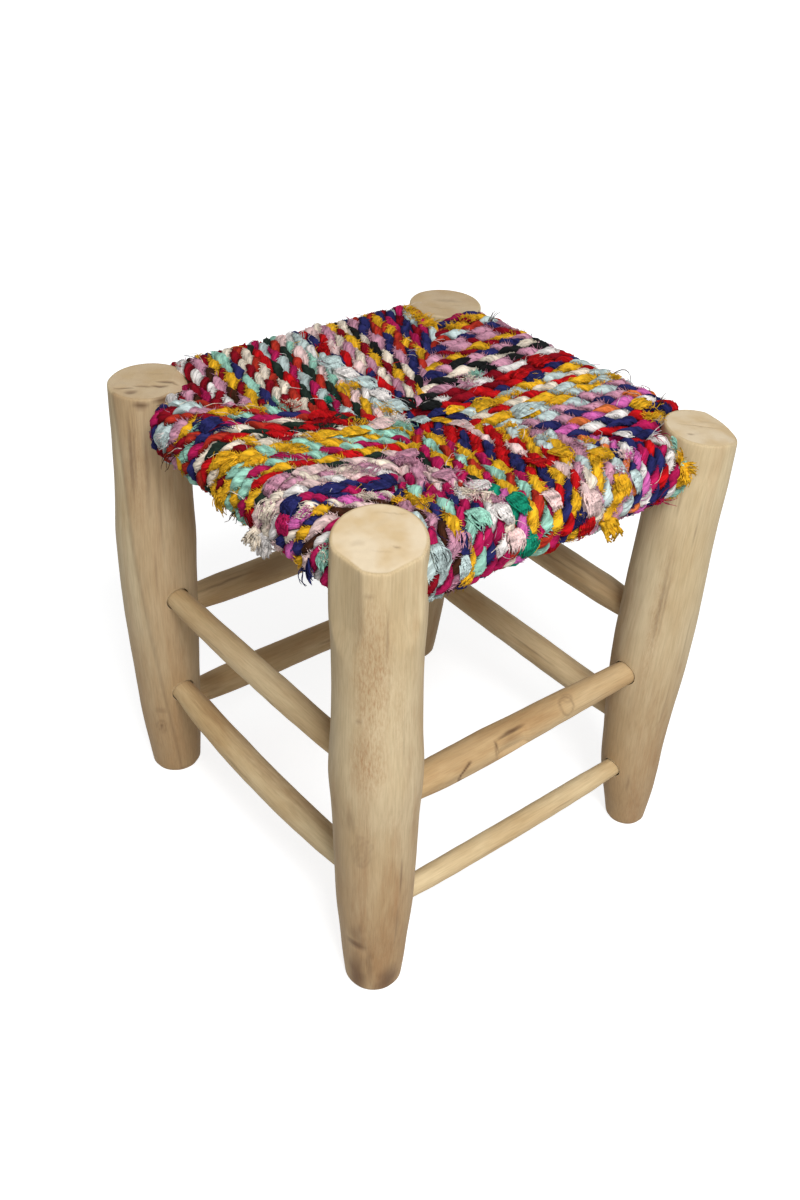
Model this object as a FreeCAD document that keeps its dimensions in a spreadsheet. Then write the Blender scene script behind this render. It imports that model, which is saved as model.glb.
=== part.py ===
"""Hand-made stool: four round legs, eight stretcher rungs and a seat of rag rope on four rails.

The origin is on the floor under the middle of the seat, +Z is up, +X is the stool's right and -Y its
front. Lengths are in millimetres and angles in degrees.
"""

import FreeCAD, Part
import math
import os

import Sketcher

V = FreeCAD.Vector
UP = V(0, 0, 1)

# Driving dimensions: the sheet's alias, its value or formula and what it measures.
SIZES = (
    ("leg_spacing_wide", 300.0, "leg axis to leg axis, left to right, at the seat"),
    ("leg_spacing_deep", 298.0, "leg axis to leg axis, front to rear, at the seat"),
    ("leg_height", 400.0, "floor to the top of a leg of the usual length"),
    ("leg_radius", 34.0, "thickest part of the thickest leg"),
    ("foot_splay", 9.0, "how far a foot stands out past the top of its leg"),
    ("leg_overrun", 16.0, "log left above the leg's top before it is sawn off"),
    ("top_wear", 1.6, "wear along the edge of a leg's top"),
    ("front_upper_height", 179.2, "floor to the axis of the front upper rung"),
    ("front_lower_height", 70.5, "floor to the axis of the front lower rung"),
    ("rear_upper_height", 176.6, "floor to the axis of the rear upper rung"),
    ("rear_lower_height", 68.7, "floor to the axis of the rear lower rung"),
    ("left_upper_height", 206.0, "floor to the axis of the left upper rung"),
    ("left_lower_height", 99.5, "floor to the axis of the left lower rung"),
    ("right_upper_height", 218.2, "floor to the axis of the right upper rung"),
    ("right_lower_height", 111.0, "floor to the axis of the right lower rung"),
    ("front_upper_radius", 12.6, "thickest part of the front upper rung"),
    ("front_lower_radius", 9.2, "thickest part of the front lower rung"),
    ("rear_upper_radius", 14.0, "thickest part of the rear upper rung"),
    ("rear_lower_radius", 14.4, "thickest part of the rear lower rung"),
    ("left_upper_radius", 11.2, "thickest part of the left upper rung"),
    ("left_lower_radius", 12.6, "thickest part of the left lower rung"),
    ("right_upper_radius", 13.8, "thickest part of the right upper rung"),
    ("right_lower_radius", 13.6, "thickest part of the right lower rung"),
    ("rung_tenon_reach", 7.0, "leg axis to the end of a rung's tenon"),
    ("rail_tenon_reach", 11.8, "leg axis to the end of a rail's tenon"),
    ("tenon_gap", 0.15, "tenon to the wall of its mortise"),
    ("mortise_floor_gap", 0.4, "tenon's end to the floor of its mortise"),
    ("rail_depth", 22.4, "top of a leg of the usual length to the axis of the seat rails"),
    ("rail_height", "=leg_height - rail_depth", "floor to the axis of the seat rails"),
    ("rail_radius", 15.6, "seat rail under the rope"),
    ("rail_tenon_radius", 9.4, "tenon of a seat rail"),
    ("rope_thickness", 12.0, "rope course, top to bottom"),
    ("rope_gap", 0.3, "rope course to its neighbour, to the rail and across the mitre"),
    ("rope_end_gap", 0.9, "outermost rope course to the leg beside it"),
    ("rope_round", 3.0, "rounded shoulder of a rope course"),
    ("seat_dip", 17.0, "how far the top courses sink from the rail to the middle"),
    ("underside_rise", 4.0, "how far the bottom courses rise from the rail to the middle"),
    ("course_count", 21, "rope courses on each rail"),
)

# Stations up a leg, as shares of its height, with a foot at 0 and the sawn top at 1.
STATION_SHARES = (0.0, 0.015, 0.12, 0.22, 0.40, 0.58, 0.80, 1.0)
# The log bends a little towards this bearing, counted from +X.
BEND_BEARING = -40.0
# radius_shares and bend_shares are shares of leg_radius, one for each station. side is the leg's
# corner, splay_shares are its shares of foot_splay outwards along X and Y, and tilt and tilt_bearing
# say how steeply and to which side the saw cut on its top falls.
LEGS = {
    "front_left": dict(
        side=(-1, -1), height_share=1.006, splay_shares=(-0.2, 1.0), tilt=9.0, tilt_bearing=-125.0,
        radius_shares=(0.67, 0.715, 0.79, 0.88, 0.955, 0.992, 0.945, 0.92),
        bend_shares=(0.0, 0.0, 0.0, 0.01, 0.0, -0.02, 0.0, 0.0),
    ),
    "front_right": dict(
        side=(1, -1), height_share=0.997, splay_shares=(-0.3, 0.6), tilt=5.0, tilt_bearing=-70.0,
        radius_shares=(0.55, 0.62, 0.755, 0.81, 0.915, 0.95, 0.895, 0.80),
        bend_shares=(0.09, 0.08, -0.01, -0.03, -0.07, -0.05, -0.01, 0.09),
    ),
    "rear_left": dict(
        side=(-1, 1), height_share=0.995, splay_shares=(0.3, 0.95), tilt=4.0, tilt_bearing=-150.0,
        radius_shares=(0.65, 0.695, 0.775, 0.865, 0.945, 0.99, 0.952, 0.93),
        bend_shares=(0.06, 0.05, 0.0, -0.02, -0.045, -0.06, -0.035, 0.0),
    ),
    "rear_right": dict(
        side=(1, 1), height_share=1.0, splay_shares=(-0.2, 1.25), tilt=3.0, tilt_bearing=-95.0,
        radius_shares=(0.65, 0.70, 0.79, 0.88, 0.955, 0.985, 0.972, 0.965),
        bend_shares=(0.03, 0.03, 0.0, 0.0, -0.02, 0.0, 0.01, 0.0),
    ),
}

# A side runs from its first leg to its second, and turn brings the front side's frame to it.
SIDES = {
    "front": dict(legs=("front_left", "front_right"), along="wide", across="deep", turn=0.0),
    "right": dict(legs=("front_right", "rear_right"), along="deep", across="wide", turn=90.0),
    "rear": dict(legs=("rear_right", "rear_left"), along="wide", across="deep", turn=180.0),
    "left": dict(legs=("rear_left", "front_left"), along="deep", across="wide", turn=270.0),
}

# Stations along a rung between its two legs, as shares of that clear length.
RUNG_SHARES = (0.0, 0.12, 0.35, 0.65, 0.88, 1.0)
# radius_shares are shares of the rung's own radius at those stations, and the first and last are its
# tenons. hang_share and stand_share say how far it bows down and outwards at mid length, as shares of
# its radius, and slope_share how far its second end is above its first, as a share of its height.
RUNGS = {
    "front_upper": dict(
        radius_shares=(0.90, 1.0, 0.98, 0.92, 0.87, 0.80), hang_share=0.0, stand_share=0.0, slope_share=0.0,
    ),
    "front_lower": dict(
        radius_shares=(0.90, 0.98, 1.0, 1.0, 0.98, 0.88), hang_share=0.05, stand_share=0.1, slope_share=-0.02,
    ),
    "rear_upper": dict(
        radius_shares=(0.86, 0.97, 1.0, 1.0, 0.97, 0.86), hang_share=0.0, stand_share=0.05, slope_share=0.0,
    ),
    "rear_lower": dict(
        radius_shares=(0.84, 0.96, 1.0, 1.0, 0.96, 0.84), hang_share=0.05, stand_share=0.05, slope_share=0.0,
    ),
    "left_upper": dict(
        radius_shares=(0.86, 0.96, 1.0, 1.0, 0.95, 0.84), hang_share=0.05, stand_share=0.1, slope_share=0.0,
    ),
    "left_lower": dict(
        radius_shares=(0.80, 0.94, 1.0, 1.0, 0.96, 0.86), hang_share=0.34, stand_share=0.2, slope_share=-0.06,
    ),
    "right_upper": dict(
        radius_shares=(0.84, 0.96, 1.0, 0.98, 0.94, 0.84), hang_share=0.0, stand_share=0.05, slope_share=0.0,
    ),
    "right_lower": dict(
        radius_shares=(0.84, 0.97, 1.0, 1.0, 0.96, 0.84), hang_share=0.05, stand_share=0.05, slope_share=0.0,
    ),
}
# Flats hewn round a leg, round a stick and its mortises, and in a rope course's turn round its rail.
LEG_FACETS = 20
STICK_FACETS = 12
TURN_FLATS = 5

document = FreeCAD.newDocument("rag_rope_stool")
sheet = document.addObject("Spreadsheet::Sheet", "Sizes")
for row, (alias, value, meaning) in enumerate(SIZES, start=1):
    sheet.set(f"A{row}", meaning)
    sheet.set(f"B{row}", str(value))
    sheet.setAlias(f"B{row}", alias)
document.recompute()


def size(alias):
    """The sheet's value for an alias."""
    return float(sheet.get(alias))


def bind(thing, expressions):
    """Bind the thing's properties to expressions of the sheet."""
    for name, expression in expressions.items():
        thing.setExpression(name, expression)


def girth(name, sides, radius, place):
    """A many-sided section of a hewn stick, its radius and its place given as expressions."""
    polygon = document.addObject("Part::RegularPolygon", name)
    polygon.Polygon = sides
    bind(polygon, {"Circumradius": radius})
    bind(polygon, {f"Placement.Base.{axis}": expression for axis, expression in zip("xyz", place)})
    return polygon


def hewn(name, girths):
    """A solid stick with flat hewn facets through its girths."""
    stick = document.addObject("Part::Loft", name)
    stick.Sections = girths
    stick.Solid = True
    stick.Ruled = True
    return stick


def leg_axis_point(leg, height):
    """The point of a leg's axis at a height above the floor."""
    data = LEGS[leg]
    splayed = size("foot_splay") * (1 - height / size("leg_height"))
    x = size("leg_spacing_wide") / 2 + data["splay_shares"][0] * splayed
    y = size("leg_spacing_deep") / 2 + data["splay_shares"][1] * splayed
    return V(data["side"][0] * x, data["side"][1] * y, height)


def make_log(leg):
    """The hewn log of one leg, still too long, standing on its foot at its corner of the stool."""
    data = LEGS[leg]
    side_x, side_y = data["side"]
    bend_x = math.cos(math.radians(BEND_BEARING))
    bend_y = math.sin(math.radians(BEND_BEARING))
    girths = []
    for number, share in enumerate(STATION_SHARES):
        bend = data["bend_shares"][number]
        out_x = side_x * data["splay_shares"][0] * (1 - share)
        out_y = side_y * data["splay_shares"][1] * (1 - share)
        overrun = " + Sizes.leg_overrun" if share == 1 else ""
        place = (
            f"{side_x} * Sizes.leg_spacing_wide / 2 + Sizes.foot_splay * {out_x:.4f}"
            f" + Sizes.leg_radius * {bend * bend_x:.4f}",
            f"{side_y} * Sizes.leg_spacing_deep / 2 + Sizes.foot_splay * {out_y:.4f}"
            f" + Sizes.leg_radius * {bend * bend_y:.4f}",
            f"Sizes.leg_height * {share}{overrun}",
        )
        radius = f"Sizes.leg_radius * {data['radius_shares'][number]}"
        girths.append(girth(f"{leg}_girth_{number}", LEG_FACETS, radius, place))
    return hewn(f"log_{leg}", girths)


def make_saw(leg):
    """What the slanting saw cut takes off the top of a leg."""
    data = LEGS[leg]
    waste = document.addObject("Part::Cylinder", f"saw_{leg}")
    bind(waste, {"Radius": "2 * Sizes.leg_radius", "Height": "2 * Sizes.leg_radius"})
    bearing = math.radians(data["tilt_bearing"])
    hinge = V(-math.sin(bearing), math.cos(bearing), 0)
    top = leg_axis_point(leg, size("leg_height") * data["height_share"])
    waste.Placement = FreeCAD.Placement(top, FreeCAD.Rotation(hinge, data["tilt"]))
    return waste


def make_leg(leg, bores):
    """One leg: its log, sawn off aslant and bored for six tenons, with the edge of its top worn."""
    waste = document.addObject("Part::MultiFuse", f"waste_{leg}")
    waste.Shapes = [make_saw(leg)] + bores
    cut = document.addObject("Part::Cut", f"bored_{leg}")
    cut.Base = make_log(leg)
    cut.Tool = waste
    document.recompute()

    top = max(cut.Shape.Faces, key=lambda face: face.CenterOfMass.z)
    rim = [n for n, edge in enumerate(cut.Shape.Edges, start=1) if any(edge.isSame(e) for e in top.Edges)]
    worn = document.addObject("Part::Chamfer", f"leg_{leg}")
    worn.Label = f"leg_{leg}"
    worn.Base = cut
    worn.Edges = [(number, size("top_wear"), size("top_wear")) for number in rim]
    return worn


def lay_down(stick, start, end):
    """Lay a stick that was made along +Z between two points, its +X side up."""
    stick.Label = stick.Name
    along = (end - start).normalize()
    out = along.cross(UP).normalize()
    upright = out.cross(along)
    stick.Placement = FreeCAD.Placement(
        FreeCAD.Matrix(
            upright.x, out.x, along.x, start.x,
            upright.y, out.y, along.y, start.y,
            upright.z, out.z, along.z, start.z,
            0, 0, 0, 1,
        )
    )
    return stick


def make_mortise(name, start, towards, radius, reach):
    """A bore into the leg at start, from its blind floor out towards the other leg."""
    direction = (towards - start).normalize()
    bore = document.addObject("Part::Prism", name)
    bore.Polygon = STICK_FACETS
    bind(bore, {"Circumradius": f"{radius} + Sizes.tenon_gap", "Height": "2 * Sizes.leg_radius"})
    floor = start + direction * (size(reach) - size("mortise_floor_gap"))
    return lay_down(bore, floor, floor + direction)


def stick_ends(side, height, slope_share):
    """The points of the two leg axes that a rung or rail of this side runs between."""
    first, second = SIDES[side]["legs"]
    rise = height * slope_share / 2
    return leg_axis_point(first, height - rise), leg_axis_point(second, height + rise)


def make_mortises(name, side, ends, radii, reach):
    """The two mortises that hold a stick, by leg."""
    first, second = SIDES[side]["legs"]
    return {
        first: make_mortise(f"mortise_{name}_first", ends[0], ends[1], radii[0], reach),
        second: make_mortise(f"mortise_{name}_second", ends[1], ends[0], radii[1], reach),
    }


def make_rung(rung):
    """One stretcher rung, whittled at its ends and a little bowed, and its mortises in two legs."""
    data = RUNGS[rung]
    side = rung.split("_")[0]
    ends = stick_ends(side, size(f"{rung}_height"), data["slope_share"])
    span = (ends[1] - ends[0]).Length
    tenons = [f"Sizes.{rung}_radius * {data['radius_shares'][end]}" for end in (0, -1)]
    rows = [("Sizes.rung_tenon_reach", tenons[0], "0", "0")]
    for share, radius_share in zip(RUNG_SHARES, data["radius_shares"]):
        swell = 4 * share * (1 - share)
        rows.append((
            f"Sizes.leg_radius + ({span} - 2 * Sizes.leg_radius) * {share}",
            f"Sizes.{rung}_radius * {radius_share}",
            f"Sizes.{rung}_radius * {-data['hang_share'] * swell:.4f}",
            f"Sizes.{rung}_radius * {data['stand_share'] * swell:.4f}",
        ))
    rows.append((f"{span} - Sizes.rung_tenon_reach", tenons[1], "0", "0"))
    girths = [
        girth(f"{rung}_girth_{number}", STICK_FACETS, radius, (hang, stand_out, position))
        for number, (position, radius, hang, stand_out) in enumerate(rows)
    ]
    stick = lay_down(hewn(f"rung_{rung}", girths), *ends)
    return stick, make_mortises(rung, side, ends, tenons, "rung_tenon_reach")


def make_rail(side):
    """One seat rail: a plain stick with shouldered tenons, and its mortises in two legs."""
    ends = stick_ends(side, size("rail_height"), 0)
    span = (ends[1] - ends[0]).Length
    tenon = "Sizes.rail_tenon_radius"
    tenon_radii = (tenon, tenon)
    parts = []
    rows = (("tenons", tenon, "rail_tenon_reach"), ("stem", "Sizes.rail_radius", "leg_radius"))
    for part, radius, reach in rows:
        prism = document.addObject("Part::Prism", f"rail_{side}_{part}")
        prism.Polygon = STICK_FACETS
        bind(prism, {
            "Circumradius": radius,
            "Height": f"{span} - 2 * Sizes.{reach}",
            "Placement.Base.z": f"Sizes.{reach}",
        })
        parts.append(prism)
    stick = document.addObject("Part::MultiFuse", f"seat_rail_{side}")
    stick.Shapes = parts
    return lay_down(stick, *ends), make_mortises(f"rail_{side}", side, ends, tenon_radii, "rail_tenon_reach")


def origin_feature(body, role):
    """The body's own origin plane or axis, by its role."""
    return next(f for f in body.Origin.OriginFeatures if f.Role == role)


def outline_sketch(body, name, role, points):
    """A closed outline of straight lines through the points, on one of the body's origin planes."""
    sketch = body.newObject("Sketcher::SketchObject", name)
    sketch.AttachmentSupport = [(origin_feature(body, role), "")]
    sketch.MapMode = "FlatFace"
    corners = [V(x, y, 0) for x, y in points]
    lines = [Part.LineSegment(a, b) for a, b in zip(corners, corners[1:] + corners[:1])]
    sketch.addGeometry(lines, False)
    return sketch


def beside(path, distance):
    """The path shifted sideways by the distance, with mitred corners."""
    def normal(a, b):
        length = math.dist(a, b)
        return (a[1] - b[1]) / length, (b[0] - a[0]) / length

    normals = [normal(a, b) for a, b in zip(path, path[1:])]
    shifted = []
    for point, before, after in zip(path, normals[:1] + normals, normals + normals[-1:]):
        x, y = before[0] + after[0], before[1] + after[1]
        stretch = distance / (x * before[0] + y * before[1])
        shifted.append((point[0] + x * stretch, point[1] + y * stretch))
    return shifted


def course_edges(rail_distance):
    """The inner and outer edge of one rope course seen along its rail: in over it, round and back below."""
    turn_radius = size("rail_radius") + size("rope_gap") + size("rope_thickness") / 2
    turn_radius /= math.cos(math.pi / 2 / TURN_FLATS)
    rail_y, rail_z = -rail_distance, size("rail_height")
    turn = []
    for number in range(TURN_FLATS + 1):
        angle = math.pi / 2 + math.pi * number / TURN_FLATS
        turn.append((rail_y + turn_radius * math.cos(angle), rail_z + turn_radius * math.sin(angle)))
    top_middle = (0, turn[0][1] - size("seat_dip"))
    bottom_middle = (0, turn[-1][1] + size("underside_rise"))
    path = [top_middle] + turn + [bottom_middle]
    half_rope = size("rope_thickness") / 2
    return beside(path, half_rope), beside(path, -half_rope)


def mitre_outline(half_along, half_across):
    """What is cut away past the two diagonals: all of the side but its triangle of the seat."""
    gap = size("rope_gap") * math.hypot(half_along, half_across) / half_across / 2
    reach_y = half_across + size("leg_radius")
    wide = half_along / half_across * reach_y
    past = wide + size("leg_radius")
    above = size("leg_radius")
    return [
        (past, above),
        (past, -reach_y),
        (wide - gap, -reach_y),
        (0, -gap * half_across / half_along),
        (gap - wide, -reach_y),
        (-past, -reach_y),
        (-past, above),
    ]


def edge_names_along(shape, path):
    """The names of the shape's edges that run along the path, which is seen along the rail."""
    def on_path(vertex):
        return any(math.dist((vertex.Y, vertex.Z), point) < size("rope_gap") / 2 for point in path)

    names = []
    for number, edge in enumerate(shape.Edges, start=1):
        first, last = edge.Vertexes
        crosses = abs(first.X - last.X) > size("rope_gap")
        if on_path(first) and on_path(last) and not crosses:
            names.append(f"Edge{number}")
    return names


def make_rope_side(side):
    """One side of the woven seat: its rope courses side by side, mitred on the two diagonals."""
    data = SIDES[side]
    half_along = size(f"leg_spacing_{data['along']}") / 2
    half_across = size(f"leg_spacing_{data['across']}") / 2
    # The thickest stretch beside the seat of the two legs, as shares of leg_radius.
    neck_shares = [max(LEGS[leg]["radius_shares"][-2:]) for leg in data["legs"]]
    rail_middle = sum(stick_ends(side, size("rail_height"), 0), V()) / 2
    rail_distance = math.hypot(rail_middle.x, rail_middle.y)
    body = document.addObject("PartDesign::Body", f"seat_rope_{side}")
    body.Label = f"seat_rope_{side}"
    body.AllowCompound = True
    body.Placement = FreeCAD.Placement(V(0, 0, 0), FreeCAD.Rotation(UP, data["turn"]))

    half_rail = f"Sizes.leg_spacing_{data['along']} / 2"
    first_edge = f"(Sizes.leg_radius * {neck_shares[0]} + Sizes.rope_end_gap - {half_rail})"
    last_edge = f"({half_rail} - Sizes.leg_radius * {neck_shares[1]} - Sizes.rope_end_gap)"
    pitch = f"({last_edge} - {first_edge}) / Sizes.course_count"
    inner, outer = course_edges(rail_distance)
    outline = outline_sketch(body, f"{side}_course_outline", "YZ_Plane", inner + outer[::-1])
    outline.setExpression("AttachmentOffset.Base.z", f"{first_edge} + {pitch} / 2")
    course = body.newObject("PartDesign::Pad", f"{side}_course")
    course.Profile = outline
    course.Midplane = True
    course.setExpression("Length", f"{pitch} - Sizes.rope_gap")
    document.recompute()

    rounded = body.newObject("PartDesign::Chamfer", f"{side}_course_rounded")
    rounded.Base = (course, edge_names_along(course.Shape, outer))
    rounded.setExpression("Size", "Sizes.rope_round")
    row = body.newObject("PartDesign::LinearPattern", f"{side}_courses")
    row.TransformMode = "Whole shape"
    row.Direction = (origin_feature(body, "X_Axis"), [""])
    row.Mode = "Spacing"
    row.setExpression("Offset", pitch)
    row.Occurrences = int(size("course_count"))
    body.Tip = row
    document.recompute()

    waste = outline_sketch(body, f"{side}_mitre_outline", "XY_Plane", mitre_outline(half_along, half_across))
    mitre = body.newObject("PartDesign::Pocket", f"{side}_mitre")
    mitre.Profile = waste
    mitre.Type = "ThroughAll"
    mitre.Midplane = True
    body.Tip = mitre
    document.recompute()
    if mitre.Shape.Volume >= row.Shape.Volume:
        raise RuntimeError(f"the mitre of the {side} side takes nothing off")
    return body


pieces = []
mortises = {leg: [] for leg in LEGS}
for rung in RUNGS:
    stick, bores = make_rung(rung)
    pieces.append(stick)
    for leg, bore in bores.items():
        mortises[leg].append(bore)
for side in SIDES:
    stick, bores = make_rail(side)
    pieces.append(stick)
    for leg, bore in bores.items():
        mortises[leg].append(bore)
for leg in LEGS:
    pieces.append(make_leg(leg, mortises[leg]))
for side in SIDES:
    pieces.append(make_rope_side(side))
document.recompute()

for thing in document.Objects:
    if "Invalid" in thing.State or "Error" in thing.State:
        raise RuntimeError(f"{thing.Label} failed to build: {thing.State}")
for piece in pieces:
    if piece.Shape.isNull() or not piece.Shape.isValid():
        raise RuntimeError(f"{piece.Label} has no valid shape")

os.makedirs("parts", exist_ok=True)
for piece in pieces:
    piece.Shape.exportStep(f"parts/{piece.Label}.step")
    print(piece.Label, len(piece.Shape.Solids), "solids", round(piece.Shape.Volume), "mm3")
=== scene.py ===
"""Looks of the rag-rope stool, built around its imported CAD.

The origin is on the floor under the middle of the seat, +X is the stool's right, -Y its front and
+Z up. Tables are in millimetres and degrees, and MM turns them into the scene's metres.
"""

import math

import bpy
import numpy as np
from mathutils import Matrix, Vector, noise


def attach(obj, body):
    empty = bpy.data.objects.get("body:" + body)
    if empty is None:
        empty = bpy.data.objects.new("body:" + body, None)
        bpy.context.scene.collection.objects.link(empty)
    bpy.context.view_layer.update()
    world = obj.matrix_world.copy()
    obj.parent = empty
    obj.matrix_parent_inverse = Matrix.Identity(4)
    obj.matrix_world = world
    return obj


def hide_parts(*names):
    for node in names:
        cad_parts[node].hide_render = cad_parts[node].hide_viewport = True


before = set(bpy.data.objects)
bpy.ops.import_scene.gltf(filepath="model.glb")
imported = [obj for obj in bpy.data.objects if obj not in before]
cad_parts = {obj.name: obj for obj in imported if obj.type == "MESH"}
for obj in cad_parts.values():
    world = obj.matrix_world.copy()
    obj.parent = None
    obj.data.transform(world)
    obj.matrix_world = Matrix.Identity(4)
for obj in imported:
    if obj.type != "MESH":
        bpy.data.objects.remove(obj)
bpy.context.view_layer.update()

MM = 0.001

# Rags: their paint as red, green and blue from 0 to 255, how bulky they are and how much they fray.
RAGS = {
    "aqua": ((202, 220, 218), 1.35, 0.8),
    "black": ((30, 32, 32), 0.85, 0.3),
    "brick": ((185, 52, 38), 0.92, 0.5),
    "brown": ((68, 38, 24), 0.75, 0.4),
    "cream": ((244, 230, 210), 1.05, 0.6),
    "crimson": ((140, 16, 32), 0.85, 0.5),
    "green": ((36, 50, 42), 0.85, 0.3),
    "hot": ((222, 110, 185), 1.15, 0.7),
    "mauve": ((211, 153, 175), 1.2, 1.3),
    "mint": ((162, 216, 196), 1.3, 0.9),
    "navy": ((44, 46, 100), 0.85, 0.7),
    "orange": ((240, 130, 70), 0.9, 0.4),
    "pale": ((244, 212, 208), 1.2, 1.1),
    "raspberry": ((188, 32, 90), 0.9, 0.6),
    "red": ((202, 22, 28), 0.92, 0.4),
    "teal": ((28, 150, 118), 1.5, 0.6),
    "white": ((244, 238, 234), 1.15, 0.7),
    "yellow": ((240, 184, 42), 1.2, 1.5),
}


def linear(red, green, blue):
    """A paint's red, green and blue, from 0 to 255, as the linear values that shaders take."""
    shares = (value / 255 for value in (red, green, blue))
    return tuple(s / 12.92 if s <= 0.04045 else ((s + 0.055) / 1.055) ** 2.4 for s in shares)


def smooth_profile(rows, at):
    """The value at a place on a smooth curve through rows of (place, value)."""
    places, values = (np.array(column, float) for column in zip(*rows))
    slopes = np.gradient(values, places)
    at = min(max(at, places[0]), places[-1])
    cell = min(max(int(np.searchsorted(places, at, side="right")) - 1, 0), len(places) - 2)
    step = places[cell + 1] - places[cell]
    t = (at - places[cell]) / step
    low, high = values[cell], values[cell + 1]
    return float(
        low * (1 + 2 * t) * (1 - t) ** 2 + high * t * t * (3 - 2 * t)
        + step * slopes[cell] * t * (1 - t) ** 2 - step * slopes[cell + 1] * t * t * (1 - t)
    )


def new_mesh(name, points, faces):
    """A smooth-shaded mesh object."""
    mesh = bpy.data.meshes.new(name)
    mesh.from_pydata([tuple(p) for p in points], [], faces)
    mesh.validate()
    mesh.polygons.foreach_set("use_smooth", [True] * len(mesh.polygons))
    thing = bpy.data.objects.new(name, mesh)
    bpy.context.scene.collection.objects.link(thing)
    return thing


def store(thing, name, values, kind="FLOAT", key="value"):
    """Write one value or vector for each point of a mesh."""
    attribute = thing.data.attributes.new(name, kind, "POINT")
    attribute.data.foreach_set(key, np.asarray(values, np.float32).ravel())


def tube_faces(rings, around, first=0):
    """Quads between closed rings of points that follow each other."""
    faces = []
    for ring in range(rings - 1):
        a, b = first + ring * around, first + (ring + 1) * around
        for k in range(around):
            after = (k + 1) % around
            faces.append((a + k, a + after, b + after, b + k))
    return faces


# The legs: foot and top of the fitted axis, the height of the sawn top, how far the cut falls and to
# which bearing, girths as (height, radius), sways as (height, push to the viewer's right), facets hewn
# off the top as (tilt, bearing, start), flats hewn off the side as (bearing, distance, lowest height)
# and how pale the sawn top is. SWAY is the viewer's right.
SWAY = (0.769, -0.639)
LEGS = {
    "front_left": dict(
        foot=(-148.3, -158.3), top=(-148.9, -147.9), height=403.6, cut=(12.5, -130.0), sawn=1.0,
        girths=((0, 22.4), (15, 24.1), (45, 26.4), (80, 29.3), (120, 30.9), (180, 32.2), (215, 33.9),
                (255, 32.0), (320, 31.1), (345, 32.2), (410, 31.2)),
        sways=((0, 0), (410, 0)),
        facets=(), hews=((-172, 28.6, 350), (-92, 28.8, 362)),
    ),
    "front_right": dict(
        foot=(147.2, -154.6), top=(149.8, -152.1), height=398.9, cut=(5.0, -70.0), sawn=0.9,
        girths=((0, 17.4), (15, 19.7), (60, 25.6), (100, 27.3), (180, 31.7), (260, 31.5), (300, 30.4),
                (360, 30.0), (410, 27.8)),
        sways=((0, 3.5), (15, 2.8), (60, -0.9), (180, -2.5), (260, -1.2), (300, -0.8), (410, 2.5)),
        facets=((16, -30, 14),), hews=((-120, 28.2, 372),),
    ),
    "rear_left": dict(
        foot=(-153.1, 157.4), top=(-150.7, 148.7), height=397.7, cut=(4.0, -150.0), sawn=0.45,
        girths=((0, 21.9), (15, 23.3), (60, 27.2), (120, 29.9), (220, 33.0), (260, 33.6), (300, 32.0),
                (410, 31.0)),
        sways=((0, 2.0), (120, -1.4), (260, -2.1), (300, -1.2), (410, 0)),
        facets=((30, -40, 20),), hews=((-75, 29.0, 352),),
    ),
    "rear_right": dict(
        foot=(148.0, 161.1), top=(153.4, 148.2), height=400.4, cut=(3.0, -95.0), sawn=0.45,
        girths=((0, 21.6), (15, 23.8), (48, 26.9), (88, 29.9), (160, 32.5), (232, 33.5), (320, 33.0),
                (410, 32.7)),
        sways=((0, 1.0), (160, -0.6), (410, 0)),
        facets=(), hews=((-140, 31.6, 380),),
    ),
}
# The rungs: their two legs, the height of the axis at the two ends, the largest radius, its shares at
# SPAN_SHARES of the clear length and how far the middle bows down and out.
SPAN_SHARES = (0.0, 0.12, 0.35, 0.65, 0.88, 1.0)
RUNGS = {
    "front_upper": dict(legs=("front_left", "front_right"), heights=(179.2, 179.2), radius=12.6,
                        shares=(0.92, 1.06, 1.08, 0.97, 0.87, 0.80), bow=(0, 0)),
    "front_lower": dict(legs=("front_left", "front_right"), heights=(71.2, 69.8), radius=9.2,
                        shares=(0.90, 0.98, 1.0, 1.0, 0.98, 0.88), bow=(0.5, 0.9)),
    "rear_upper": dict(legs=("rear_right", "rear_left"), heights=(176.6, 176.6), radius=14.0,
                       shares=(0.86, 0.97, 1.0, 1.0, 0.97, 0.86), bow=(0, 0.7)),
    "rear_lower": dict(legs=("rear_right", "rear_left"), heights=(68.7, 68.7), radius=14.4,
                       shares=(0.84, 0.96, 1.0, 1.0, 0.96, 0.84), bow=(0.7, 0.7)),
    "left_upper": dict(legs=("rear_left", "front_left"), heights=(206.0, 206.0), radius=11.2,
                       shares=(0.86, 0.96, 1.0, 1.0, 0.95, 0.84), bow=(0.6, 1.1)),
    "left_lower": dict(legs=("rear_left", "front_left"), heights=(102.5, 96.5), radius=12.6,
                       shares=(0.80, 0.94, 1.0, 1.0, 0.96, 0.86), bow=(4.3, 2.5)),
    "right_upper": dict(legs=("front_right", "rear_right"), heights=(218.2, 218.2), radius=13.8,
                        shares=(0.84, 0.96, 1.0, 0.98, 0.94, 0.84), bow=(0, 0.7)),
    "right_lower": dict(legs=("front_right", "rear_right"), heights=(111.0, 111.0), radius=13.6,
                        shares=(0.84, 0.97, 1.0, 1.0, 0.96, 0.84), bow=(0.7, 0.7)),
}
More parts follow.
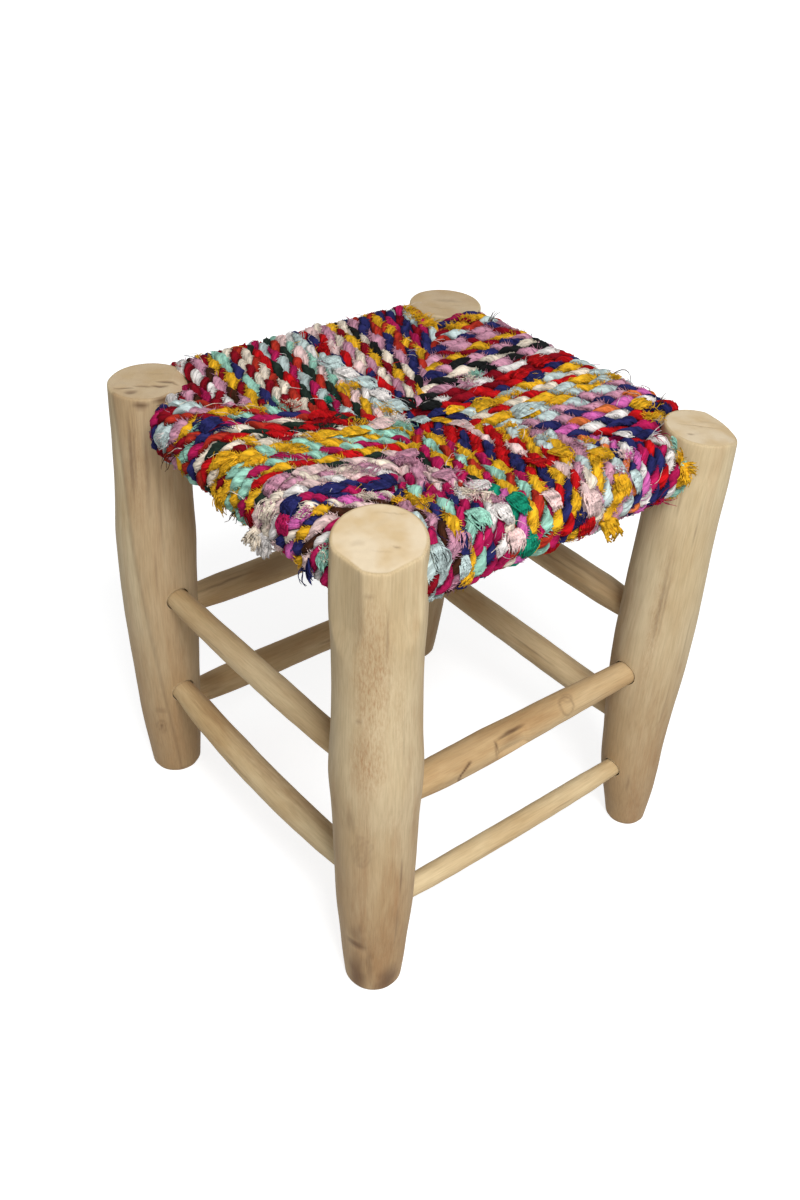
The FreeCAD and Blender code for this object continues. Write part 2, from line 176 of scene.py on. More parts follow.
# Stains and knots: the height, the bearing, half the height, half the width and how dark, where a value
# below 0 draws only the outline, as a knot's growth rings are. Some marks are painted shade: those in
# and along the axe cut of the front upper rung, and partly the wide one on the rear upper rung.
MARKS = {
    "front_left": (
        (380, -138, 1.1, 6, 0.5), (162, -146, 17, 8, -0.22), (161, -146, 11, 5, -0.22),
        (160, -146, 5, 2.5, -0.2), (57, -156, 6, 11, 0.75), (68, -155, 16, 8, 0.35),
        (16, -160, 36, 10, 0.72), (12, -100, 24, 13, 0.72), (75, -150, 12, 3, 0.35),
        (133, -90, 22, 1.6, 0.6), (80, -92, 30, 1.3, 0.4), (260, -92, 26, 1.0, 0.3),
        (352, -118, 26, 1.3, 0.35), (280, -152, 1.2, 3.5, 0.5), (190, -160, 14, 5, 0.25),
        (34, -135, 30, 4, 0.35),
    ),
    "front_right": (
        (260, -145, 60, 2.0, 0.4), (262, -139, 48, 1.0, 0.3), (330, -118, 24, 0.7, 0.5),
        (150, -100, 30, 1.2, 0.3), (60, -140, 14, 1.6, 0.4), (215, -90, 34, 1.0, 0.3),
        (350, -150, 16, 1.2, 0.35),
    ),
    "rear_left": (
        (391, -131, 4.0, 8, 0.8), (394, -98, 3.5, 10, 0.8), (345, -148, 48, 2.6, 0.55),
        (350, -141, 45, 1.2, 0.4), (335, -125, 55, 2.6, 0.35), (300, -110, 60, 1.6, 0.3),
        (62, -137, 4.5, 2.4, 0.6), (62, -137, 8, 5, -0.25), (82, -134, 3, 9, 0.35),
        (240, -120, 22, 1.4, 0.3),
    ),
    "rear_right": ((330, -120, 30, 1.2, 0.35), (120, -130, 30, 1.4, 0.35)),
    "front_upper": (
        # Painted shade: the first mark darkens the axe cut's scoop, the next three draw its shaded upper and
        # end walls.
        (125, 18, 15, 9, 0.26), (126, 57, 17, 2.2, 0.85), (108, 40, 2.0, 5, 0.7), (106, 14, 1.6, 7, 0.4),
        (186, 42, 8, 9, -0.4), (190, 70, 5, 4, -0.25), (210, 8, 40, 1.0, 0.3), (60, 0, 40, 3.0, 0.25),
    ),
    "front_lower": ((120, 0, 30, 0.9, 0.35), (200, 20, 20, 0.8, 0.4)),
    "left_upper": ((110, 10, 24, 1.0, 0.4), (190, -10, 8, 1.8, 0.45)),
    "left_lower": ((140, 10, 30, 1.2, 0.4), (80, -20, 6, 2.0, 0.5)),
    # The mark at 190 mm, 17 wide, is partly a stain and partly the seat's painted shadow.
    "rear_upper": ((240, 128, 60, 1.6, 0.45), (190, 145, 46, 17, 0.36), (120, 150, 60, 8, 0.3)),
    "rear_lower": ((120, 160, 30, 1.8, 0.4),),
    "right_upper": ((170, 146, 130, 1.5, 0.6), (170, 176, 150, 8, 0.28), (80, 120, 40, 2.0, 0.3)),
    "right_lower": ((130, 150, 40, 1.2, 0.4),),
}
# A carpenter's pen stroke on a rung: the place along and the bearing of its corners, and half its width.
PEN_STROKES = {"front_upper": ((80, 29), (75, 17), (71, 5), (69, -7), (69, -18), (71, -28))}
PEN_HALF = 1.9
# Axe cuts in the rungs: the place along, the bearing, half the length, half the width in degrees, depth.
CHOPS = {"front_upper": ((125, 16, 17, 40, 3.4),), "right_upper": ((150, 200, 110, 30, 0.9),)}
# How much browner a rung is than the palest, partly its own colour and partly painted shade, most on
# the rear upper rung in the seat's shadow.
RUNG_BROWN_AND_SHADE = {
    "front_upper": 0.4, "rear_upper": 0.5, "rear_lower": 0.4, "right_upper": 0.35, "right_lower": 0.35,
    "left_upper": 0.1,
}
# Cracks and knots of the sawn tops: how far right of the middle and away from the viewer, half the
# length, half the width and how dark, where a crack's darkness is partly painted shade in it and on
# the rear left top partly the painted shadow of its chipped near edge.
CRACKS = {
    "front_left": (
        (11, -7, 3, 1.4, 0.35), (8, 22, 13, 0.8, 0.22), (-13, -6, 6, 3.5, 0.10), (2, -12, 8, 1.0, 0.12),
    ),
    "front_right": ((-2, 2, 20, 0.9, 0.35), (-10, -12, 3, 1.8, 0.5), (8, 10, 9, 2.5, 0.12)),
    "rear_left": (
        (-16, -13, 10, 1.8, 0.5), (-1, -9, 10, 2.0, 0.5), (16, -1, 10, 2.8, 0.65), (11, -8, 8, 2.6, 0.75),
        (-9, -19, 6, 4.5, 0.6), (4, 12, 14, 1.0, 0.15),
    ),
    "rear_right": (
        (2, 6, 15, 4.5, 0.22), (2, 6, 9, 2.5, 0.2), (-6, -12, 12, 0.8, 0.25), (10, -4, 8, 0.8, 0.2),
    ),
}
# Where bark left short brown specks, as stains are given, and where a leg's hewn side is browner and
# darker, partly its own colour and partly the seat's painted shadow: past the bearing at the height,
# which moves by so many degrees for each millimetre up, and how much.
SPECKLED = {
    "front_left": ((318, -134, 82, 18, 1.0), (248, -138, 42, 17, 1.0), (290, -98, 60, 9, 0.4)),
    "front_right": ((240, -146, 90, 8, 0.6),),
    "rear_left": ((330, -140, 60, 14, 0.5),),
}
SHADED_BROWN_SIDE = {"rear_left": (-126, 108, -0.175, 0.75)}
# Points round a stick and how far apart its rings are.
LEG_AROUND = 132
LEG_STEP = 3.0
RUNG_AROUND = 84
RUNG_STEP = 1.8
# The dents of peeled wood: how deep, how much longer than wide on a leg, how much smaller on a rung.
DENT = 0.7
DENT_SHARE = 0.45
RUNG_DENT = 0.8
RUNG_DENT_SHARES = (1.6, 1.6, 0.5)
RUNG_DENT_REACH = 22.0
# A leg's axis to the wall where a rung's clear length ends, how deep a tenon goes in past that, how much
# wider its mortise is, how far past the tenon's end that is bored, and the length of the bore.
LEG_WALL = 31.0
TENON_DEPTH = 24.0
MORTISE_GAP = 1.1
BORE_PAST = 1.0
BORE_LENGTH = 60.0
# The radius at which a leg's rim is read, its worn edge as (share of the height, how far below, how far
# in), the rings of the sawn top, how deep its cracks are, and how browner it is the less pale it is.
RIM = 30.0
TOP_EDGE = ((1.0, 1.9, 0.0), (1.0, 0.9, 0.2), (1.0, 0.3, 0.7), (1.0, 0.05, 1.4))
TOP_SHARES = tuple(1 - 0.04 * step for step in range(1, 24))
CRACK_DEPTH = 1.2
TOP_BROWN = 1.3
# How fast a hewn flat runs out into the round, how high the worn edge of a foot is and how far in it goes.
HEW_RUNOUT = 0.12
FOOT_EDGE = 3.0
FOOT_WEAR = 1.4
# How much browner the feet are drawn, as painted shade, up to what height, and how the edge of a leg's
# browner side is drawn, with a dark line of painted shade along it.
FOOT_SHADE = 1.2
FOOT_HEIGHT = 280.0
EDGE_LINE_SHADE = 0.42
EDGE_HALF = 5.0
EDGE_SOFT = 7.0
# How far each leg and rung is moved in the grain's pattern, and the pattern's place on a sawn top.
LEG_GRAIN = 60.0
RUNG_GRAIN = 45.0
TOP_GRAIN = 40.0
# Where a knot's ring runs, as a share of its size, and half how wide it is drawn.
RING_AT = 0.85
RING_HALF = 1.7


def leg_axis(leg, height):
    """The point of a leg's axis at the height."""
    data = LEGS[leg]
    share = height / data["height"]
    sway = smooth_profile(data["sways"], height)
    x, y = (f + (t - f) * share for f, t in zip(data["foot"], data["top"]))
    return Vector((x + SWAY[0] * sway, y + SWAY[1] * sway, height))


def dents(place, seed, reach=34.0):
    """Gentle dents of a peeled stick, from -1 to 1, with a finer ripple."""
    spot = Vector(place)
    return (
        0.75 * noise.noise(spot / reach + Vector((seed, 0, 0)))
        + 0.35 * noise.noise(spot / (reach / 3) + Vector((0, seed, 0)))
    )


def reach_towards(x, y, bearing):
    """How far a point lies from the axis towards a bearing."""
    return x * math.cos(math.radians(bearing)) + y * math.sin(math.radians(bearing))


def leg_top(leg, x, y):
    """The height of a leg's sawn top at x and y from its axis, with its facets."""
    data = LEGS[leg]
    tilt, bearing = data["cut"]
    height = data["height"] - math.tan(math.radians(tilt)) * reach_towards(x, y, bearing)
    for tilt, bearing, start in data["facets"]:
        height -= math.tan(math.radians(tilt)) * max(0.0, reach_towards(x, y, bearing) - start)
    return height


def stain_at(marks, place, bearing, radius):
    """How dark the marks of a stick are at a place along it and a bearing round it, from 0 to 1."""
    dark = 0.0
    for centre, angle, tall, wide, strength in marks:
        drift = min(0.25 * wide, 1.6) * noise.noise(Vector((place / 11, angle, 0))) * 2
        aside = math.radians((bearing - angle + 180) % 360 - 180) * radius + drift
        far = math.hypot((place - centre) / tall, aside / wide)
        if strength < 0:
            dark = max(dark, -strength * max(0.0, 1 - abs(far - RING_AT) * min(tall, wide) / RING_HALF))
        else:
            dark = max(dark, strength * (1 - min(far, 1.0) ** 2) ** 1.3)
    return dark


def stroke_at(corners, place, bearing, radius):
    """How dark a pen stroke through the corners is at a place along a rung and a bearing round it."""
    spots = [Vector((at, math.radians(angle) * radius)) for at, angle in (*corners, (place, bearing))]
    here = spots.pop()
    dark = 0.0
    for a, b in zip(spots, spots[1:]):
        share = min(max((here - a).dot(b - a) / (b - a).length_squared, 0.0), 1.0)
        dark = max(dark, 1 - (here - a.lerp(b, share)).length / PEN_HALF)
    return dark


def make_stick(name, rows, faces):
    """A stick's mesh from a row for each point: place, place in the grain, stain, specks, brown, sawn, where
    stain and brown carry some painted shade.
    """
    points, grain, *shares = zip(*rows)
    thing = new_mesh(name, np.array([tuple(p) for p in points]) * MM, faces)
    store(thing, "grain", np.array(grain) * MM, "FLOAT_VECTOR", "vector")
    for share, values in zip(("stain", "specks", "brown", "sawn"), shares):
        store(thing, share, values)
    return thing


def leg_side_row(leg, seed, ring, angle):
    """The row of a point on a leg's side, where a ring is given as TOP_EDGE gives one."""
    data = LEGS[leg]
    share, below, inset = ring
    cos, sin = math.cos(angle), math.sin(angle)
    height = max(0.0, share * leg_top(leg, RIM * cos, RIM * sin) - below)
    radius = smooth_profile(data["girths"], height)
    place = (radius * cos, radius * sin, height * DENT_SHARE)
    for bearing, distance, lowest in data["hews"]:
        towards = math.cos(angle - math.radians(bearing))
        if towards > 0.4:
            radius = min(radius, (distance + max(0.0, lowest - height) * HEW_RUNOUT) / towards)
    radius += DENT * dents(place, seed) - inset
    if height < FOOT_EDGE:
        radius -= FOOT_WEAR * (1 - height / FOOT_EDGE) ** 2
    x, y = radius * cos, radius * sin
    axis = leg_axis(leg, height)
    bearing = math.degrees(angle) - (360 if angle > math.pi / 2 else 0)
    # Painted shade: the hewn side browner and darker, partly as the seat's shadow, a dark line along its
    # edge, and the leg browner towards its foot.
    turn, turn_height, drift, shaded_browner = SHADED_BROWN_SIDE.get(leg, (0, 0, 0, 0.0))
    past = bearing - turn - drift * (height - turn_height)
    edge_line = EDGE_LINE_SHADE * shaded_browner * max(0.0, 1 - abs(past) / EDGE_HALF)
    brown = max(shaded_browner * min(max(past / EDGE_SOFT + 0.5, 0.0), 1.0), FOOT_SHADE * (1 - height / FOOT_HEIGHT))
    stain = max(edge_line, stain_at(MARKS[leg], height, bearing, radius))
    specks = stain_at(SPECKLED.get(leg, ()), height, bearing, radius)
    return (axis.x + x, axis.y + y, height), (x + LEG_GRAIN * seed, y, height), stain, specks, brown, 0.0


def leg_top_row(leg, seed, centre, x, y):
    """The row of a point on a leg's sawn top, x and y from its centre."""
    right, away = x * SWAY[0] + y * SWAY[1], y * SWAY[0] - x * SWAY[1]
    # A crack's darkness, which also sinks the top, is partly painted shade in the crack.
    crack = 0.0
    for right_at, away_at, long, wide, strength in CRACKS[leg]:
        curve = 1.5 * noise.noise(Vector((right / 8, away_at, seed)))
        far = math.hypot((right - right_at) / long, (away - away_at + curve) / wide)
        crack = max(crack, strength * max(0.0, 1 - far * far))
    lift = 0.25 * noise.noise(Vector((x / 5, y / 5, seed)))
    height = leg_top(leg, x, y) + lift - CRACK_DEPTH * crack
    grain = (x + LEG_GRAIN * seed, y, height + TOP_GRAIN)
    sawn = LEGS[leg]["sawn"]
    return (centre.x + x, centre.y + y, height), grain, crack, 0.0, TOP_BROWN * (1 - sawn), sawn


def make_leg(leg, seed):
    """One peeled leg with its sawn top, its edge a little worn."""
    data = LEGS[leg]
    shares = np.arange(0, data["height"], LEG_STEP) / data["height"]
    rings = [(share, 0.0, 0.0) for share in shares if share < 1 - 1.5 * LEG_STEP / data["height"]]
    rings += TOP_EDGE
    turns = [2 * math.pi * k / LEG_AROUND for k in range(LEG_AROUND)]
    rows = [leg_side_row(leg, seed, ring, angle) for ring in rings for angle in turns]
    last = len(rows) - LEG_AROUND
    rim = [Vector(row[0]) for row in rows[last:]]
    centre = sum(rim, Vector()) / LEG_AROUND
    for share in TOP_SHARES:
        rows += [
            leg_top_row(leg, seed, centre, (p.x - centre.x) * share, (p.y - centre.y) * share) for p in rim
        ]
    inner, foot, sawn = len(rows) - LEG_AROUND, leg_axis(leg, 0), data["sawn"]
    brown = TOP_BROWN * (1 - sawn)
    top_grain = (LEG_GRAIN * seed, 0, data["height"] + TOP_GRAIN)
    rows.append(((centre.x, centre.y, leg_top(leg, 0, 0)), top_grain, 0.0, 0.0, brown, sawn))
    rows.append(((foot.x, foot.y, 0), (LEG_GRAIN * seed, 0, 0), 0.0, 0.0, brown, 0.0))
    faces = tube_faces(len(rings), LEG_AROUND) + tube_faces(len(TOP_SHARES) + 1, LEG_AROUND, last)
    pairs = [(k, (k + 1) % LEG_AROUND) for k in range(LEG_AROUND)]
    faces += [(inner + a, inner + b, len(rows) - 2) for a, b in pairs]
    faces += [(b, a, len(rows) - 1) for a, b in pairs]
    return make_stick(f"peeled_{leg}", rows, faces)


def rung_frame(rung):
    """A rung's two end points, with its directions along, out and up."""
    data = RUNGS[rung]
    start, end = (leg_axis(leg, height) for leg, height in zip(data["legs"], data["heights"]))
    along = (end - start).normalized()
    out = along.cross(Vector((0, 0, 1))).normalized()
    return start, end, along, out, out.cross(along)


def make_rung(rung, seed):
    """One whittled rung, a little bowed, its ends deep in the legs."""
    data = RUNGS[rung]
    start, end, along, out, up = rung_frame(rung)
    span = (end - start).length
    low, high = LEG_WALL - TENON_DEPTH, span - LEG_WALL + TENON_DEPTH
    count = int((high - low) / RUNG_STEP) + 1
    # A rung's browning is partly its own colour and partly painted shade.
    brown = RUNG_BROWN_AND_SHADE.get(rung, 0.0)
    rows = []
    for ring in range(count):
        place = low + (high - low) * ring / (count - 1)
        share = min(max((place - LEG_WALL) / (span - 2 * LEG_WALL), 0.0), 1.0)
        radius = data["radius"] * float(np.interp(share, SPAN_SHARES, data["shares"]))
        hang, stand = (bow * 4 * share * (1 - share) for bow in data["bow"])
        middle = start + along * place + out * stand - up * hang
        for k in range(RUNG_AROUND):
            angle = 2 * math.pi * k / RUNG_AROUND
            bearing = (math.degrees(angle) + 180) % 360 - 180
            x, y = radius * math.cos(angle), radius * math.sin(angle)
            spot = [part * share for part, share in zip((x, y, place), RUNG_DENT_SHARES)]
            reach = radius + RUNG_DENT * DENT * dents(spot, seed, RUNG_DENT_REACH)
            for centre, towards, long, wide, deep in CHOPS.get(rung, ()):
                aside = (bearing - towards + 180) % 360 - 180
                inside = max(abs(place - centre) / long, abs(aside) / wide)
                reach -= deep * min(1.0, max(0.0, (1 - inside) * 5))
            point = middle + out * reach * math.cos(angle) + up * reach * math.sin(angle)
            stroke = stroke_at(PEN_STROKES.get(rung, ()), place, bearing, radius)
            stain = max(stroke, stain_at(MARKS[rung], place, bearing, radius))
            rows.append((point, (x + RUNG_GRAIN * seed, y, place), stain, 0.0, brown, 0.0))
    faces = [tuple(reversed(face)) for face in tube_faces(count, RUNG_AROUND)]
    for first, middle in ((0, start + along * low), ((count - 1) * RUNG_AROUND, start + along * high)):
        rows.append((middle, (RUNG_GRAIN * seed, 0, 0), 0.0, 0.0, brown, 0.0))
        tip = len(rows) - 1
        for k in range(RUNG_AROUND):
            a, b = first + k, first + (k + 1) % RUNG_AROUND
            faces.append((a, b, tip) if first else (b, a, tip))
    return make_stick(f"whittled_{rung}", rows, faces)


def bore_leg(thing, leg):
    """Bore the mortises of the rungs into a leg, a little wider than the rungs."""
    for rung, data in RUNGS.items():
        if leg not in data["legs"]:
            continue
        start, end, along, *_ = rung_frame(rung)
        at, place, direction = (0, start, along) if data["legs"][0] == leg else (-1, end, -along)
        bpy.ops.mesh.primitive_cylinder_add(
            vertices=40,
            radius=(data["radius"] * data["shares"][at] + MORTISE_GAP) * MM,
            depth=BORE_LENGTH * MM,
            location=(place + direction * (LEG_WALL - TENON_DEPTH - BORE_PAST + BORE_LENGTH / 2)) * MM,
        )
        cutter = bpy.context.object
        cutter.rotation_mode = "QUATERNION"
        cutter.rotation_quaternion = direction.to_track_quat("Z", "Y")
        cut = thing.modifiers.new("mortise", "BOOLEAN")
        cut.operation = "DIFFERENCE"
        cut.solver = "EXACT"
        cut.object = cutter
        bpy.context.view_layer.objects.active = thing
        bpy.ops.object.modifier_apply(modifier=cut.name)
        bpy.data.objects.remove(cutter)
    thing.data.set_sharp_from_angle(angle=math.radians(35))


# The rope seat. Each side runs from its first leg to its second; turn brings the front side's frame to
# it, and span is where its courses lie along the rail. A course is its two plies' paints, the place where
# the first ply lies outermost, round the outside from 0 on top of the rail and below 0 inwards, and the
# length of one twist; after them may come the paints that the plies change to, and where. short rows, by
# their place along the rail, run from a leg to the diagonal only.
SEAT_MIDDLE = (-4.0, -2.0)
CORNERS = {
    "front_left": (-150, -149),
    "front_right": (98, -154),
    "rear_right": (150, 149),
    "rear_left": (-154, 95),
}
RAIL_Z = 377.6
ROPE_OUTER = 27.9
SEAT_DIP = 17.0
UNDERSIDE_RISE = 4.0
SIDES = {
    "front": dict(turn=0, rail=149.9, legs=("front_left", "front_right"), span=(-131, 116), courses=(
        ("aqua", "crimson", 27, 38), ("aqua", "raspberry", 33, 39), ("brown", "mauve", 36, 27),
        ("yellow", "navy", 45, 37), ("mint", "raspberry", 45, 30),
        ("navy", "raspberry", 40, 30, "mauve", "raspberry", -44),
        ("raspberry", "white", 27, 30, "mauve", "pale", -40),
        ("brick", "cream", 46, 34, "pale", "mauve", -34),
        ("teal", "hot", 45, 28, "raspberry", "green", -20), ("raspberry", "yellow", 43, 34),
        ("mint", "brick", 36, 33), ("yellow", "raspberry", 38, 36), ("red", "navy", 45, 29),
        ("navy", "yellow", 42, 28, "navy", "red", -22), ("pale", "red", 35, 40),
        ("mauve", "cream", 33, 30, "red", "yellow", -6), ("yellow", "aqua", 48, 36),
        ("yellow", "mauve", 35, 38), ("aqua", "mauve", 48, 35), ("navy", "orange", 45, 22),
        ("white", "hot", 50, 24), ("raspberry", "navy", 35, 28), ("red", "navy", 35, 28),
        ("raspberry", "white", 38, 31), ("yellow", "mint", 44, 26),
    ), short=()),
    "right": dict(turn=90, rail=150.3, legs=("front_right", "rear_right"), span=(-118, 118), courses=(
        ("red", "navy", -25, 36), ("white", "navy", -33, 30), ("hot", "orange", -20, 30),
        ("navy", "mauve", -28, 29), ("aqua", "mauve", -15, 31), ("yellow", "aqua", -24, 33),
        ("yellow", "aqua", -13, 45), ("cream", "red", -10, 34), ("yellow", "aqua", -9, 42),
        ("red", "navy", -28, 28), ("red", "crimson", -18, 34), ("crimson", "white", -20, 42),
        ("mauve", "black", -45, 31), ("black", "cream", -20, 38), ("navy", "mauve", -13, 30),
        ("yellow", "crimson", -35, 26), ("mauve", "crimson", -14, 32), ("navy", "mauve", -34, 32),
        ("brick", "aqua", -15, 40), ("crimson", "yellow", -10, 32), ("navy", "raspberry", -30, 32),
    ), short=(
        (-125, "raspberry", "navy", -30, 34), (-136, "red", "navy", -22, 36),
        (-147, "white", "raspberry", -40, 36),
    )),
    "rear": dict(turn=180, rail=149.5, legs=("rear_right", "rear_left"), span=(-118, 122), courses=(
        ("raspberry", "yellow", -12, 34), ("raspberry", "aqua", -28, 36), ("navy", "crimson", -22, 26),
        ("raspberry", "navy", -12, 34), ("yellow", "brick", -25, 20), ("brick", "navy", -18, 34),
        ("navy", "mauve", -15, 34), ("black", "cream", -17, 30), ("crimson", "yellow", -12, 32),
        ("mauve", "cream", -34, 32), ("red", "pale", -13, 35, "navy", "red", -78), ("navy", "red", -15, 34),
        ("white", "aqua", -26, 36), ("pale", "mint", -23, 30, "yellow", "pale", -82),
        ("green", "brick", -16, 33), ("raspberry", "aqua", -20, 29), ("red", "green", -12, 40),
        ("brick", "cream", -22, 28), ("cream", "crimson", -18, 25), ("navy", "mint", -28, 45),
        ("crimson", "yellow", -23, 28), ("brown", "mauve", -24, 34), ("white", "crimson", -17, 24),
    ), short=(
        (127, "crimson", "raspberry", -30, 34), (137, "mauve", "brown", -40, 34),
        (147, "white", "crimson", -30, 34),
    )),
    "left": dict(turn=270, rail=149.9, legs=("rear_left", "front_left"), span=(-105, 131), courses=(
        ("raspberry", "navy", 30, 44), ("aqua", "crimson", 43, 34), ("aqua", "brick", 40, 34),
        ("mauve", "brick", 32, 30), ("crimson", "yellow", 37, 32), ("mint", "brick", 40, 30),
        ("raspberry", "navy", 32, 36), ("cream", "brick", 37, 42), ("red", "green", 36, 36),
        ("cream", "yellow", 39, 28, "green", "red", -14),
        ("yellow", "crimson", 22, 36, "cream", "crimson", -6), ("yellow", "mint", 39, 30),
        ("mint", "yellow", 28, 34), ("mint", "raspberry", 28, 32), ("yellow", "red", 35, 36),
        ("pale", "green", 42, 34), ("mauve", "cream", 36, 30), ("white", "pale", 47, 34),
        ("navy", "raspberry", 48, 27), ("cream", "hot", 39, 26, "navy", "raspberry", 8),
        ("navy", "yellow", 42, 22, "cream", "hot", 0), ("brown", "pale", 36, 34),
        ("raspberry", "white", 43, 34), ("mint", "raspberry", 36, 34),
    ), short=()),
}
# How far a course dips past the diagonal under its neighbours and over what length, where along the rail
# the legs stand, how far their surface is from there, past what place a leg hides a course's top, and how
# far round the outside such a course starts.
TUCK = 7.0
TUCK_LENGTH = 14.0
LEG_AT = 150.0
LEG_SURFACE = 28.5
LEG_COVER = 117.0
COVERED_START = 14.0
# Points across a ply, how far apart its rows are, and how much farther below the seat.
PLY_POINTS = 11
RING_STEP = 1.5
UNDER_STEP = 2.6
# The rope's unevenness: how its twist wobbles, how far a course strays along and off the seat, how much a
# ply swells, its share of the rope varies and its cloth wrinkles, and the roughness of its surface.
TWIST_WOBBLE = 0.42
STRAY_ALONG = 0.7
STRAY_OFF = 0.6
SWELL = 0.11
SHARE_DRIFT = 0.11
WRINKLE = 0.42
ROUGHNESS = 0.16
# A course's thickness from its rags' bulk, how round a ply is, and the painted shade of its edges in the
# grooves and of its core.
BULK_BASE = 0.62
BULK_SHARE = 0.18
CROWN = 0.46
EDGE_SHADE = 0.6
CORE_SHADE = 0.2
# Where the weave's pattern is read: its scale on threads, half a ply's width in it, how far apart two
# plies are and how far it moves for each millimetre along the rail.
THREAD_WEAVE = 0.6
PLY_WEAVE = 6.0
PLY_APART = 13.0
COURSE_APART = 3.1
# Frays: their length, half thickness and spacing, the share of the rope's length that frays, how far
# round the rail they go, and how often a strip ends in a brush of threads.
FRAY = 4.6
FRAY_HALF = 0.40
FRAY_STEP = 0.6
FRAY_SHARE = 0.8
FRAY_LAST = 80.0
BRUSH_SHARE = 0.55
BRUSH_LAST = 75.0
# A ply dives under the other where it is this far round from the top, in radians.
DIVE = 0.95
# How the shades of threads vary, and how far below the rope's surface a loose thread starts.
FRAY_SHADES = (0.85, 1.12)
STRAND_SHADES = (0.82, 1.12)
ROOT_LIFT = -1.2
# Loose threads, placed as the courses are: bursts as (x, s, reach, rag), the others as (x, s) of the root
# and the tip with the rag. KINDS has how many threads, for a burst so many for each millimetre of its
# reach, how far they spread at the root and the tip, half their thickness, the lift of their tips off the
# seat and how high they arch. Pads and strips are torn rags that lie over the rope.
KINDS = {
    "burst": (6, 0.3, 0.0, 0.40, 1.8, 0.7),
    "comb": (16, 4.6, 5.4, 0.44, 1.4, 0.9),
    "fluff": (26, 4.0, 4.6, 0.70, 6.0, 1.5),
    "hank": (26, 3.4, 3.2, 1.50, 11.0, 0.0),
    "loop": (1, 0.0, 0.0, 0.60, 1.0, 9.0),
    "pad": (44, 4.8, 4.4, 1.00, 0.7, 1.6),
    "strip": (30, 2.9, 2.5, 0.95, 0.6, 1.4),
    "tail": (4, 1.2, 2.5, 0.45, 9.0, 1.0),
    "thread": (1, 0.0, 0.0, 0.30, 2.6, 1.6),
}
